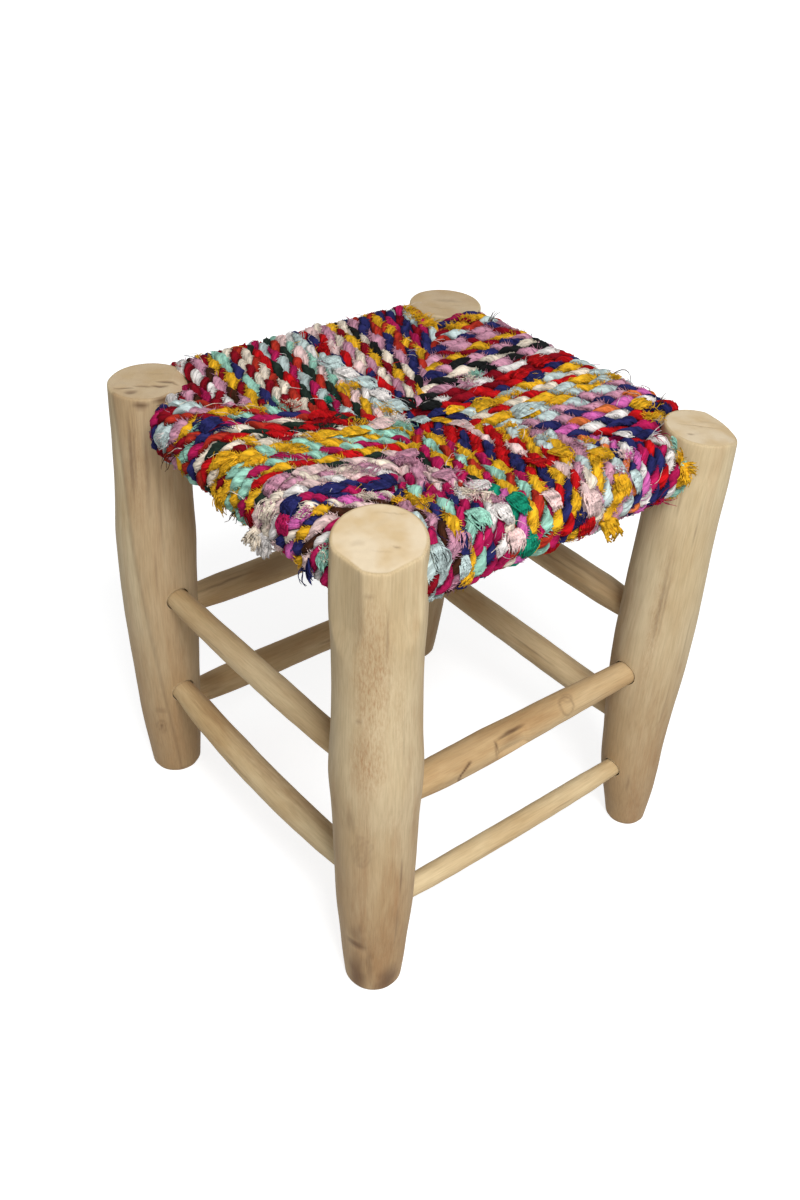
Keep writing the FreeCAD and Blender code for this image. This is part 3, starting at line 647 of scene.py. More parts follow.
LOOSE = {
    "front": {
        "burst": (
            (-62, -82, 10, "mauve"), (-108, -36, 8, "yellow"), (-64, -15, 11, "cream"),
            (-56, -15, 10, "mauve"), (44, 29, 9, "yellow"), (-95, -23, 9, "yellow"), (-59, 6, 9, "mauve"),
            (48, 18, 6, "mauve"), (26, -20, 9, "yellow"), (58, -22, 8, "yellow"), (44, 2, 8, "yellow"),
            (46, -22, 10, "mauve"), (60, 8, 8, "pale"), (64, 10, 6, "hot"), (-52, -48, 9, "mauve"),
            (-56, -21, 9, "mauve"), (38, -84, 7, "yellow"), (38, -50, 9, "aqua"),
        ),
        "comb": (
            (-62, -12, -73, 2, "pale"), (-96, 18, -103, 30, "mauve"), (-96, 48, -102, 58, "yellow"),
            (4, 36, 0, 44, "navy"), (10, 56, 16, 67, "red"), (-16, 59, -18, 68, "red"),
        ),
        "pad": (
            (28, -31, 28, -13, "yellow"), (48, -12, 48, 7, "yellow"), (-54, -27, -54, -9, "white"),
            (-60, -55, -60, -37, "mauve"), (-54, -100, -54, -84, "mauve"), (46, 20, 46, 37, "yellow"),
            (4, -26, 2, -9, "red"), (-80, 5, -79, 22, "mint"), (-46, 5, -43, 22, "teal"),
            (-45, 38, -47, 55, "teal"), (-58, 30, -58, 46, "pale"), (10, 43, 10, 58, "red"),
            (14, 24, 14, 42, "pale"), (-18, 13, -18, 28, "pale"), (-62, 8, -60, 25, "white"),
            (-5, -146, -4, -131, "aqua"),
        ),
        "strip": (
            (10, -122, 12, -98, "pale"), (4, -136, 7, -118, "yellow"), (17, -132, 21, -112, "navy"),
            (86, -22, 84, -7, "white"), (-102, 34, -103, 50, "aqua"), (-120, 20, -121, 40, "aqua"),
            (60, 22, 59, 38, "aqua"), (18, 26, 17, 42, "pale"),
        ),
        "fluff": (
            (110, 38, 106, 45, "yellow"), (108, 34, 116, 37, "yellow"), (110, 34, 103, 43, "yellow"),
            (108, 28, 102, 22, "yellow"), (109, 18, 103, 13, "mint"),
        ),
        "hank": ((30, 52, 40, 66, "yellow"), (33, 54, 42, 62, "yellow")),
        "tail": ((90, 56, 102, 56, "raspberry"), (102, 0, 96, 13, "raspberry"), (98, 0, 105, 6, "white")),
        "thread": (
            (-108, -30, -109, -10, "mauve"), (-72, 38, -60, 48, "white"), (-70, -54, -74, -30, "navy"),
            (66, 48, 72, 37, "hot"), (28, -60, 47, -74, "white"), (42, -52, 54, -60, "pale"),
            (80, -48, 73, -29, "white"), (82, -36, 66, -17, "white"), (4, 56, 20, 66, "yellow"),
        ),
    },
    "right": {
        "burst": (
            (98, -8, 9, "yellow"), (104, -12, 9, "yellow"), (98, -30, 9, "yellow"), (-62, 4, 10, "yellow"),
            (-110, -13, 11, "yellow"), (-126, -22, 12, "yellow"), (-24, -102, 12, "yellow"),
            (-28, -72, 7, "yellow"), (18, -74, 9, "mint"), (15, -84, 9, "cream"), (16, -58, 8, "black"),
            (10, -90, 12, "mauve"),
        ),
        "loop": ((-52, 13, -68, 24, "brown"),),
        "pad": (
            (-24, -112, -24, -93, "yellow"), (-18, -51, -18, -33, "navy"), (-8, -55, -8, -37, "red"),
            (0, -29, 0, -11, "red"), (-106, -21, -106, -7, "yellow"),
        ),
        "strip": (
            (-8, -128, -11, -146, "navy"), (-17, -116, -15, -134, "yellow"), (-54, -96, -54, -66, "aqua"),
            (42, -80, 42, -60, "black"), (3, -124, 4, -143, "black"),
        ),
        "tail": ((84, 0, 88, 9, "brown"), (-116, -6, -121, -3, "brown")),
        "thread": (
            (-94, -28, -90, -18, "white"), (-86, -14, -100, -20, "white"), (-20, -94, -44, -105, "brown"),
            (-52, 14, -62, 15, "brown"),
        ),
    },
    "rear": {
        "burst": (
            (-106, -18, 13, "yellow"), (-106, -32, 14, "yellow"), (-106, -8, 8, "yellow"),
            (17, -92, 9, "yellow"), (14, -134, 11, "yellow"), (48, -100, 7, "teal"), (5, -30, 9, "red"),
            (4, -110, 9, "navy"),
        ),
        "pad": (
            (10, -42, 12, -64, "aqua"), (12, -62, 9, -84, "white"), (8, -82, 6, -104, "aqua"),
            (6, -102, 8, -124, "white"), (8, -122, 4, -142, "aqua"),
        ),
        "strip": ((-7, -124, -4, -143, "black"),),
        "tail": ((124, -4, 127, -9, "red"), (8, -6, 9, -7, "aqua")),
        "thread": (
            (-4, -94, -23, -82, "white"), (-4, -94, 8, -99, "white"), (0, -114, -3, -138, "white"),
            (66, -70, 58, -86, "white"), (-32, -76, -40, -82, "red"),
        ),
    },
    "left": {
        "burst": (
            (22, 6, 8, "yellow"), (-54, -20, 8, "yellow"), (-52, -42, 7, "yellow"), (100, -29, 9, "cream"),
            (-52, -72, 9, "cream"), (12, -124, 13, "mint"), (4, -130, 11, "white"), (127, 32, 7, "cream"),
            (126, 24, 6, "mint"), (60, -88, 9, "mauve"), (-24, -82, 11, "red"),
        ),
        "comb": (
            (5, 15, -3, 32, "yellow"), (-76, 32, -82, 46, "aqua"), (-76, 36, -87, 43, "white"),
            (62, 24, 61, 43, "cream"), (58, 26, 56, 42, "cream"), (36, 44, 46, 52, "crimson"),
            (90, 24, 94, 14, "hot"), (94, 16, 85, 20, "cream"), (58, -52, 69, -31, "pale"),
            (62, -64, 74, -44, "mauve"), (-14, -106, 8, -88, "yellow"), (6, -58, 5, -40, "yellow"),
            (12, -38, 22, -15, "yellow"), (-54, 16, -48, 7, "navy"), (-38, 4, -25, 1, "navy"),
            (-24, -80, -6, -66, "crimson"), (-60, -76, -44, -60, "brick"), (20, -6, 32, -12, "raspberry"),
        ),
        "fluff": ((7, 42, 1, 60, "yellow"), (110, 46, 122, 50, "navy")),
        "pad": ((-44, 14, -44, -3, "navy"), (78, 27, 78, 11, "navy"), (81, 39, 80, 26, "raspberry")),
        "strip": (
            (6, -52, 9, -74, "yellow"), (9, -72, 12, -95, "yellow"), (82, -2, 82, -25, "navy"),
            (90, -34, 92, -58, "navy"), (-26, -68, -26, -92, "red"), (6, -100, 4, -126, "pale"),
            (52, 24, 52, 2, "mauve"), (52, -2, 54, -26, "pale"), (126, 29, 127, 43, "mint"),
        ),
        "hank": (
            (48, 55, 50, 62, "cream"), (58, 55, 46, 74, "white"), (56, 57, 50, 70, "white"),
            (50, 52, 44, 60, "cream"),
        ),
        "tail": ((102, 55, 96, 72, "navy"), (18, 56, 14, 62, "brown"), (-61, 42, -74, 58, "brown")),
        "thread": (
            (-53, 35, -72, 50, "cream"), (-6, 6, 10, 4, "white"), (26, -18, 43, -19, "white"),
            (40, -44, 64, -36, "cream"), (-86, 10, -72, -5, "cream"), (-74, -6, -63, -22, "cream"),
            (-66, -24, -51, -39, "cream"), (80, -14, 88, -6, "white"), (-82, -34, -92, -47, "crimson"),
            (80, -14, 67, -33, "cream"),
        ),
    },
}
# Single stray threads all over the seat: their rags, how many on a side and half their thickness.
STRAYS = ("cream", "mauve", "white", "crimson", "navy", "white", "yellow", "brown")
STRAY_COUNT = 28
STRAY_HALF = 0.27


def in_side(side, point):
    """A point of the seat's plan in a side's own frame."""
    turn = math.radians(SIDES[side]["turn"])
    return (
        point[0] * math.cos(turn) + point[1] * math.sin(turn),
        -point[0] * math.sin(turn) + point[1] * math.cos(turn),
    )


def diagonal_reach(side, x):
    """How far from the seat's middle, across the rail, the diagonals cut a course off at x."""
    middle = in_side(side, SEAT_MIDDLE)
    leg = SIDES[side]["legs"][0 if x < middle[0] else 1]
    corner = in_side(side, CORNERS[leg])
    return -(middle[1] + (x - middle[0]) / (corner[0] - middle[0]) * (corner[1] - middle[1]))


def course_radius(side):
    """Half the thickness of a side's rope, from the spacing of its courses."""
    low, high = SIDES[side]["span"]
    return (high - low) / len(SIDES[side]["courses"]) / 2 + 0.9


def seat_point(side, x, s, lift):
    """Points over a side of the seat: x along the rail, s round its outside and lift off the rope."""
    rail = SIDES[side]["rail"]
    turn_length = math.pi * ROPE_OUTER
    inner, under = np.minimum(s, 0), np.maximum(s - turn_length, 0)
    angle = np.clip(s / ROPE_OUTER, 0, math.pi)
    out = ROPE_OUTER + lift
    y = -rail - out * np.sin(angle) - inner + under
    z = RAIL_Z + out * np.cos(angle) + (SEAT_DIP * inner + UNDERSIDE_RISE * under) / rail
    return np.stack(np.broadcast_arrays(x, y, z), -1)


def course_path(side, x, short):
    """A course's middle line from its inner end over the rail and back below: s, points and angle."""
    rail = SIDES[side]["rail"]
    end = -(rail - diagonal_reach(side, x)) - 3
    turn_length = math.pi * ROPE_OUTER
    if short:
        last = -math.sqrt(max(LEG_SURFACE**2 - (abs(x) - LEG_AT) ** 2, 0))
        s = np.arange(end, last, RING_STEP)
    else:
        start = max(end, COVERED_START) if abs(x) > LEG_COVER else end
        s = np.concatenate([
            np.arange(start, turn_length, RING_STEP),
            np.arange(turn_length, turn_length + max(rail - abs(x), 12) + 3, UNDER_STEP * RING_STEP),
        ])
    points = seat_point(side, x, s, -course_radius(side))
    points[:, 2] -= TUCK * np.clip(1 - (s - end) / TUCK_LENGTH, 0, 1) ** 2
    far_end = TUCK * np.clip(1 - (s[-1] - s) / TUCK_LENGTH, 0, 1) ** 2 if len(s) else 0
    points[:, 2] += np.where(s > turn_length, far_end, -far_end if short else 0)
    return s, points, np.clip(s / ROPE_OUTER, 0, math.pi)


def waves(rng, s, shortest, longest, count=3):
    """A smooth random curve along s, from about -1 to 1."""
    total = np.zeros_like(s)
    for _ in range(count):
        total += np.sin(2 * math.pi * s / rng.uniform(shortest, longest) + rng.uniform(0, 2 * math.pi))
    return total / math.sqrt(count)


def wrinkles(rng, along, across):
    """Folds of crumpled cloth that run mostly along the ply, from about -1 to 1."""
    total = np.zeros(np.broadcast(along, across).shape)
    for _ in range(6):
        wave = rng.uniform(6, 26)
        lean, start = rng.uniform(-9, 9), rng.uniform(0, 2 * math.pi)
        total = total + np.sin(2 * math.pi * along / wave + across * lean + start)
    return total / 3


class Pieces:
    """Points, faces, colours and weave places gathered for one mesh."""

    def __init__(self, turn):
        self.turn = math.radians(turn)
        self.points, self.faces, self.colours, self.weave = [], [], [], []
        self.total = 0

    def add(self, points, faces, colours, weave):
        """Add points given in the side's own frame, with their faces."""
        self.points.append(points)
        self.faces.extend(tuple(self.total + n for n in face) for face in faces)
        self.colours.append(colours)
        self.weave.append(weave)
        self.total += len(points)

    def build(self, name):
        """The mesh object of all that was added, turned to its place."""
        x, y, z = np.concatenate(self.points).T
        cos, sin = math.cos(self.turn), math.sin(self.turn)
        thing = new_mesh(name, np.stack([x * cos - y * sin, x * sin + y * cos, z], 1) * MM, self.faces)
        store(thing, "weave", np.concatenate(self.weave) * MM, "FLOAT_VECTOR", "vector")
        rgba = np.concatenate([np.concatenate(self.colours), np.ones((self.total, 1))], 1)
        attribute = thing.data.color_attributes.new("rag", "FLOAT_COLOR", "POINT")
        attribute.data.foreach_set("color", rgba.astype(np.float32).ravel())
        return thing


def unit(vectors):
    """The vectors scaled to length 1."""
    return vectors / np.maximum(np.linalg.norm(vectors, axis=-1, keepdims=True), 1e-9)


def add_spikes(pieces, bases, tips, normals, colours):
    """Thin three-sided spikes from bases to tips, such as the threads of a frayed edge."""
    along = unit(tips - bases)
    aside = unit(np.cross(along, normals))
    raised = np.cross(aside, along)
    corners = np.stack([
        bases + aside * FRAY_HALF, bases - aside * FRAY_HALF, bases + raised * FRAY_HALF * 1.4, tips,
    ], 1).reshape(-1, 3)
    faces = []
    for a in range(0, len(corners), 4):
        faces += [(a, a + 1, a + 3), (a + 1, a + 2, a + 3), (a + 2, a, a + 3), (a, a + 2, a + 1)]
    pieces.add(corners, faces, np.repeat(colours, 4, 0), corners * THREAD_WEAVE)


def add_threads(pieces, paths, half, colours):
    """Thin three-sided threads along paths of points, tapering to their tips."""
    steps = paths.shape[1]
    along = unit(np.gradient(paths, axis=1))
    aside = unit(np.cross(along, np.array([0.31, 0.55, 0.77])))
    raised = np.cross(aside, along)
    thick = (half * np.linspace(1, 0.45, steps))[None, :, None]
    corners = [
        paths + thick * (aside * math.cos(turn) + raised * math.sin(turn))
        for turn in (0, 2 * math.pi / 3, 4 * math.pi / 3)
    ]
    points = np.stack(corners, 2).reshape(-1, 3)
    faces = []
    for a in range(0, len(points), steps * 3):
        last = a + 3 * steps - 3
        faces += tube_faces(steps, 3, a) + [(a + 2, a + 1, a), (last, last + 1, last + 2)]
    pieces.add(points, faces, np.repeat(colours, steps * 3, 0), points * THREAD_WEAVE)


def add_strands(pieces, rng, side, roots, tips, half, arch, paint):
    """Threads that follow the seat from roots to tips, each given as x, s and lift."""
    count = len(roots)
    t = np.linspace(0, 1, 7)[None, :]
    place = roots[:, None] * (1 - t[..., None]) + tips[:, None] * t[..., None]
    run = tips - roots
    reach = np.linalg.norm(run[:, :2], axis=1)[:, None]
    aside = unit(np.stack([-run[:, 1], run[:, 0]], 1))
    bend = np.sin(math.pi * t) * rng.normal(0, 0.12, (count, 1)) * reach
    bend = bend + np.sin(9 * t + rng.uniform(0, 6, (count, 1))) * 0.03 * reach
    place[..., :2] += aside[:, None] * bend[..., None]
    place[..., 2] += arch * 4 * t * (1 - t) * rng.uniform(0.6, 1.2, (count, 1))
    colours = np.array(linear(*RAGS[paint][0])) * rng.uniform(*STRAND_SHADES, (count, 1))
    add_threads(pieces, seat_point(side, place[..., 0], place[..., 1], place[..., 2]), half, colours)


def add_loose(pieces, rng, side):
    """The loose threads, tufts and tails of one side of the seat."""
    for kind, rows in LOOSE[side].items():
        threads, root_spread, tip_spread, half, lift, arch = KINDS[kind]
        for row in rows:
            root, paint = np.array(row[:2], float), row[-1]
            count = threads * row[2] if kind == "burst" else threads
            if kind == "burst":
                turn = rng.uniform(0, 2 * math.pi, count)
                outward = np.stack([np.cos(turn), np.sin(turn)], 1)
                roots = root + rng.normal(0, root_spread * row[2], (count, 2))
                tips = roots + outward * row[2] * rng.uniform(0.2, 0.6, (count, 1))
            else:
                run = np.array(row[2:4], float) - root
                aside = np.array([-run[1], run[0]]) / np.linalg.norm(run)
                place = np.linspace(-1, 1, count)[:, None] if count > 1 else np.zeros((1, 1))
                roots = root + aside * place * root_spread + rng.normal(0, 0.4, (count, 2))
                tips = roots + run * rng.uniform(0.72, 1.05, (count, 1))
                uneven = rng.normal(0, 0.2, (count, 1)) * tip_spread
                tips += aside * (place * (tip_spread - root_spread) + uneven)
            roots = np.concatenate([roots, np.full((count, 1), ROOT_LIFT)], 1)
            tips = np.concatenate([tips, lift * rng.uniform(0.3, 1.1, (count, 1))], 1)
            add_strands(pieces, rng, side, roots, tips, half, arch, paint)
    low, high = SIDES[side]["span"]
    for number in range(STRAY_COUNT):
        x = rng.uniform(low + 12, high - 12)
        s = rng.uniform(-(SIDES[side]["rail"] - diagonal_reach(side, x)) * 0.9, 45)
        turn, reach = rng.uniform(0, 2 * math.pi), rng.uniform(8, 22)
        root = np.array([[x, s, -1.0]])
        tip = root + np.array([[math.cos(turn) * reach, math.sin(turn) * reach, rng.uniform(1.5, 3.5)]])
        add_strands(pieces, rng, side, root, tip, STRAY_HALF, 1.5, STRAYS[number % len(STRAYS)])


def add_frays(pieces, rng, skin, middle, facing, s, colour, fray):
    """Frayed edges here and there along one ply, as rows of short threads that point sideways."""
    last = skin.shape[1] - 2
    for column, inner in ((1, 2), (last, last - 1)):
        place = s[0] + rng.uniform(0, 10)
        rows = []
        while place < min(s[-1] - 3, FRAY_LAST):
            length = rng.uniform(4, 13)
            if rng.random() < FRAY_SHARE * fray:
                spots = np.arange(place, min(place + length, s[-1] - 3), FRAY_STEP)
                rows += list(np.searchsorted(s, spots + rng.uniform(-0.2, 0.2, len(spots))))
            place += length + rng.uniform(0, 5)
        rows = np.array([n for n in rows if 1 <= n < len(s) - 1 and facing[n, column] > -0.1], int)
        if not len(rows):
            continue
        count = len(rows)
        tangent = unit(skin[rows + 1, column] - skin[rows - 1, column])
        normal = unit(skin[rows, column] - middle[rows])
        sideways = unit(skin[rows, column] - skin[rows, inner] + normal * 0.3)
        onward, upward = rng.normal(0, 0.5, (count, 1)), rng.uniform(0, 0.4, (count, 1))
        direction = unit(sideways + tangent * onward + normal * upward)
        bases = skin[rows, inner] * 0.4 + skin[rows, column] * 0.6 + normal * 0.15
        lengths = FRAY * min(fray, 1.2) * rng.uniform(0.45, 1.25, (count, 1))
        colours = colour[rows, inner] * rng.uniform(*FRAY_SHADES, (count, 1))
        add_spikes(pieces, bases, bases + direction * lengths, normal, colours)


def add_brushes(pieces, rng, skin, middle, bearing, s, colour, fray):
    """Torn ends of strips, where a ply dives under its neighbour: threads that run on along the ply."""
    centre = skin.shape[1] // 2
    away = np.abs((bearing + math.pi) % (2 * math.pi) - math.pi)
    for row in np.nonzero((away[:-1] - DIVE) * (away[1:] - DIVE) < 0)[0]:
        if row < 3 or row > len(s) - 5 or s[row] > BRUSH_LAST or rng.random() > BRUSH_SHARE * fray:
            continue
        onward = 1 if away[row + 1] > away[row] else -1
        tangent = unit(skin[row + 2, centre] - skin[row - 2, centre]) * onward
        normal = unit(skin[row, centre] - middle[row])
        count = int(rng.integers(9, 17))
        columns = rng.integers(2, skin.shape[1] - 2, count)
        bases = skin[row - onward, columns] + tangent * rng.uniform(-1.5, 1.0, (count, 1)) + normal * 0.1
        aside = np.cross(tangent, normal) * rng.normal(0, 0.3, (count, 1))
        direction = unit(tangent + aside + normal * rng.uniform(0.1, 0.55, (count, 1)))
        tips = bases + direction * rng.uniform(2.5, 5.5, (count, 1))
        colours = colour[row, columns] * rng.uniform(*FRAY_SHADES, (count, 1))
        add_spikes(pieces, bases, tips, np.repeat(normal[None], count, 0), colours)


def add_course(pieces, frays, rng, side, x, row, short):
    """One course of two-ply rag rope, and its frays."""
    radius = course_radius(side)
    at, lay = row[2:4]
    s, middle, angle = course_path(side, x, short)
    if len(s) < 6:
        return
    wobble = TWIST_WOBBLE * waves(rng, s, 20, 60)
    twist = -2 * math.pi * (s - at) / lay + wobble - wobble[np.argmin(abs(s - at))]
    normal = np.stack([np.zeros_like(s), -np.sin(angle), np.cos(angle)], 1)
    across = np.array([1.0, 0.0, 0.0])
    middle += across * (STRAY_ALONG * waves(rng, s, 40, 110))[:, None]
    middle += normal * (STRAY_OFF * waves(rng, s, 25, 70))[:, None]
    bulk = [RAGS[paint][1] for paint in row[:2]]
    radius *= BULK_BASE + BULK_SHARE * sum(bulk)
    share = np.clip(bulk[0] / sum(bulk) + SHARE_DRIFT * waves(rng, s, 22, 70), 0.3, 0.7)
    u = np.linspace(-1, 1, PLY_POINTS)
    around = PLY_POINTS + 1
    for ply, paint in enumerate(row[:2]):
        wide = math.pi * (share if ply == 0 else 1 - share)
        bearing = (twist - math.pi * ply)[:, None] + u[None, :] * wide[:, None]
        bearing += rng.normal(0, 0.05, bearing.shape) * abs(u) ** 2 * 2
        swell = 1 + SWELL * waves(rng, s, 11, 30)
        crown = 1 - CROWN + CROWN * np.cos(u * math.pi / 2) ** 0.6
        reach = radius * swell[:, None] * crown + rng.normal(0, ROUGHNESS, bearing.shape)
        reach += WRINKLE * wrinkles(rng, s[:, None], u[None, :]) * (1 - 0.5 * abs(u))
        skin = (
            middle[:, None, :]
            + normal[:, None, :] * (reach * np.cos(bearing))[:, :, None]
            + across * (reach * np.sin(bearing))[:, :, None]
        )
        ring = np.concatenate([skin, middle[:, None, :]], 1)
        faces = tube_faces(len(s), around)
        faces += [tuple(reversed(range(around))), tuple(range(around * (len(s) - 1), around * len(s)))]
        tint = np.ones((len(s), around, 3)) * linear(*RAGS[paint][0])
        if len(row) > 4:
            ragged = row[6] + 2.5 * np.sin(np.arange(around) * 2.3 + rng.uniform(0, 6))
            tint[s[:, None] < ragged[None, :]] = linear(*RAGS[row[4 + ply]][0])
        shade = 1 + 0.10 * waves(rng, s, 8, 40)
        # Painted shade: each ply darker towards its edges, where the grooves between plies are, and at its
        # core.
        dark = np.concatenate([1 - EDGE_SHADE * abs(u) ** 3, [CORE_SHADE]])
        colour = tint * (shade[:, None] * dark[None, :])[:, :, None]
        flat = np.concatenate([u * PLY_WEAVE, [0]])
        apart = x * COURSE_APART + ply * PLY_APART
        weave = np.stack(np.broadcast_arrays(s[:, None], flat[None, :], apart), 2)
        pieces.add(ring.reshape(-1, 3), faces, colour.reshape(-1, 3), weave.reshape(-1, 3))
        fray = RAGS[paint][2]
        add_frays(frays, rng, skin, middle, np.cos(bearing), s, tint * shade[:, None, None], fray)
        add_brushes(frays, rng, skin, middle, bearing[:, PLY_POINTS // 2], s, tint, fray)


def make_rope_side(side, seed):
    """All the courses of one side of the seat as one mesh, and all their loose threads as another."""
    data = SIDES[side]
    rng = np.random.default_rng(seed)
    low, high = data["span"]
    count = len(data["courses"])
    pieces, frays = Pieces(data["turn"]), Pieces(data["turn"])
    for number, row in enumerate(data["courses"]):
        add_course(pieces, frays, rng, side, low + (high - low) * (number + 0.5) / count, row, False)
    for x, *row in data.get("short", ()):
        add_course(pieces, frays, rng, side, x, row, True)
    add_loose(frays, rng, side)
    return pieces.build(f"rag_rope_{side}"), frays.build(f"rag_frays_{side}")


def node_of(tree, kind, **values):
    """A shader node with its properties set."""
    node = tree.nodes.new(kind)
    for name, value in values.items():
        setattr(node, name, value)
    return node


def feed(tree, socket, value):
    """Link a socket to another, or set it to a number or a colour."""
    if isinstance(value, bpy.types.NodeSocket):
        tree.links.new(value, socket)
    elif isinstance(value, (int, float)):
        socket.default_value = value
    else:
        socket.default_value = (*value, 1)


def math_of(tree, operation, a, b):
    """Two values added or multiplied, never above 1."""
    node = node_of(tree, "ShaderNodeMath", operation=operation, use_clamp=True)
    feed(tree, node.inputs[0], a)
    feed(tree, node.inputs[1], b)
    return node.outputs[0]


def noise_of(tree, vector, scale, detail, roughness, stretch=(1, 1, 1)):
    """A noise texture's value read at a vector, scaled along its three directions."""
    place = node_of(tree, "ShaderNodeMapping")
    place.inputs["Scale"].default_value = stretch
    tree.links.new(vector, place.inputs["Vector"])
    node = node_of(tree, "ShaderNodeTexNoise")
    for name, value in (("Scale", scale), ("Detail", detail), ("Roughness", roughness)):
        node.inputs[name].default_value = value
    tree.links.new(place.outputs["Vector"], node.inputs["Vector"])
    return node.outputs["Fac"]


def ramp_of(tree, value, *stops):
    """A colour ramp through stops of (place, colour), where a colour may be one grey value."""
    node = node_of(tree, "ShaderNodeValToRGB")
    tree.links.new(value, node.inputs["Fac"])
    for element, (place, colour) in zip(node.color_ramp.elements, stops):
        element.position = place
        element.color = (*(colour if isinstance(colour, tuple) else (colour,) * 3), 1)
    return node.outputs["Color"]


def mixed(tree, share, a, b, mode="MIX"):
    """Two colours mixed by a share, each a socket or a value."""
    node = node_of(tree, "ShaderNodeMix", data_type="RGBA", blend_type=mode)
    for number, value in ((0, share), (6, a), (7, b)):
        feed(tree, node.inputs[number], value)
    return node.outputs[2]


def times(tree, a, b):
    """Two colours multiplied."""
    return mixed(tree, 1.0, a, b, "MULTIPLY")


def bumped(tree, shader, height, strength, distance):
    """Give a shader a bump from a height."""
    node = node_of(tree, "ShaderNodeBump")
    node.inputs["Strength"].default_value = strength
    node.inputs["Distance"].default_value = distance
    tree.links.new(height, node.inputs["Height"])
    tree.links.new(node.outputs["Normal"], shader.inputs["Normal"])


def new_material(name, roughness, specular):
    """A material with a principled shader: the material, its tree and the shader."""
    material = bpy.data.materials.new(name)
    material.use_nodes = True
    tree = material.node_tree
    shader = tree.nodes["Principled BSDF"]
    shader.inputs["Roughness"].default_value = roughness
    shader.inputs["Specular IOR Level"].default_value = specular
    return material, tree, shader


def attribute_of(tree, name, output="Fac"):
    """A mesh attribute's socket."""
    node = node_of(tree, "ShaderNodeAttribute", attribute_type="GEOMETRY", attribute_name=name)
    return node.outputs[output]


def wood_material(name, paints):
    """Peeled wood: soft long grain, warm streaks, specks of bark, stains and paler sawn ends, with painted
    shade carried in the brown and stain attributes.
    """
    pale, tan, streak, dark, sawn = (linear(*paint) for paint in paints)
    material, tree, shader = new_material(name, 0.66, 0.25)
    grain = attribute_of(tree, "grain", "Vector")
    blotch = noise_of(tree, grain, 18, 4, 0.6, (1, 1, 0.35))
    long_grain = noise_of(tree, grain, 80, 6, 0.65, (1, 1, 0.07))
    fibres = noise_of(tree, grain, 800, 4, 0.6, (1, 1, 0.06))
    warm = noise_of(tree, grain, 26, 6, 0.7, (1, 1, 0.16))
    dashes = noise_of(tree, grain, 1000, 4, 0.7, (1, 1, 0.2))
    rings = noise_of(tree, grain, 34, 3, 0.5, (1, 1, 0))
    specks = attribute_of(tree, "specks")
    body = mixed(tree, ramp_of(tree, blotch, (0.36, 0), (0.62, 1)), pale, tan)

    def streaked(share, strength):
        """The body with more of the streak's colour, at most the strength, where the share is high."""
        return mixed(tree, share, body, mixed(tree, strength, body, streak))

    body = streaked(ramp_of(tree, long_grain, (0.48, 0), (0.76, 1)), 0.34)
    body = streaked(ramp_of(tree, warm, (0.55, 0), (0.72, 1)), 0.5)
    # The brown attribute is partly painted shade: the legs' feet, the rear left leg's hewn side and partly
    # the rungs.
    body = streaked(attribute_of(tree, "brown"), 0.45)
    body = times(tree, body, ramp_of(tree, fibres, (0.32, (0.86, 0.85, 0.83)), (0.58, 1)))
    dots = ramp_of(tree, dashes, (0.70, 0), (0.78, 1))
    body = mixed(tree, dots, body, mixed(tree, 0.3, body, dark))
    body = streaked(specks, 0.16)
    body = streaked(times(tree, specks, ramp_of(tree, dashes, (0.42, 0), (0.66, 1))), 0.62)
    warmer = tuple(part * share for part, share in zip(sawn, (0.86, 0.78, 0.64)))
    end = ramp_of(tree, rings, (0.38, warmer), (0.60, sawn))
    body = mixed(tree, attribute_of(tree, "sawn"), body, end)
    # The stain attribute also carries painted shade: the axe cut's walls, the hewn side's edge line, the
    # seat's shadow on the rear upper rung and partly the cracks.
    body = mixed(tree, attribute_of(tree, "stain"), body, dark)
    tree.links.new(body, shader.inputs["Base Color"])
    bumped(tree, shader, fibres, 0.3, 0.0006)
    return material


def rag_material():
    """Twisted rags: the rags' colour with fine fibres, dirt, and creases with painted shade in their troughs
    and painted light on their ridges.
    """
    material, tree, shader = new_material("rag_rope_dyed", 0.95, 0.08)
    weave = attribute_of(tree, "weave", "Vector")
    fibres = noise_of(tree, weave, 1500, 3, 0.6, (0.4, 1, 1))
    folds_and_shade = noise_of(tree, weave, 430, 3, 0.6, (0.28, 1, 1))
    patches = noise_of(tree, weave, 130, 2, 0.5)
    colour = attribute_of(tree, "rag", "Color")
    colour = times(tree, colour, ramp_of(tree, fibres, (0.25, 0.78), (0.65, 1.12)))
    # Painted shade in the creases' troughs and painted light on their ridges, following the folds' bump.
    colour = times(tree, colour, ramp_of(tree, folds_and_shade, (0.36, 0.56), (0.56, 1.10)))
    colour = times(tree, colour, ramp_of(tree, patches, (0.3, 0.82), (0.6, 1.0)))
    tree.links.new(colour, shader.inputs["Base Color"])
    bumped(tree, shader, folds_and_shade, 0.8, 0.0022)
    return material


# The camera, fitted to the photograph: its azimuth, elevation and roll, the point it looks at, how far
# from there it stands, its lens and its sensor's width.
CAMERA_ANGLES = (-39.71, 34.572, 2.712)
CAMERA_TARGET = (-0.31, 8.44, 209.14)
CAMERA_DISTANCE = 1005.81
CAMERA_LENS = 34.865
CAMERA_SENSOR = 36.0
# The studio: the floor's size in metres and its paint, the world's strength, how much a floor seen
# directly glows by the stool, from where to where, in metres from the middle, that glow rises to plain
# white, and the lights as (name, place, size, power) with the point they face.
FLOOR_SIZE = 14
FLOOR_PAINT = (186, 186, 186)
AMBIENT = 0.29
FLOOR_LIFT = 0.80
FLOOR_NEAR = (0.45, 1.1)
LIGHTS = (("key", (-0.50, -1.20, 1.80), 0.6, 30), ("fill", (-0.80, -1.55, 0.65), 1.2, 7))
LIGHT_TARGET = Vector((0, 0, 0.25))
WHITE = (1, 1, 1, 1)


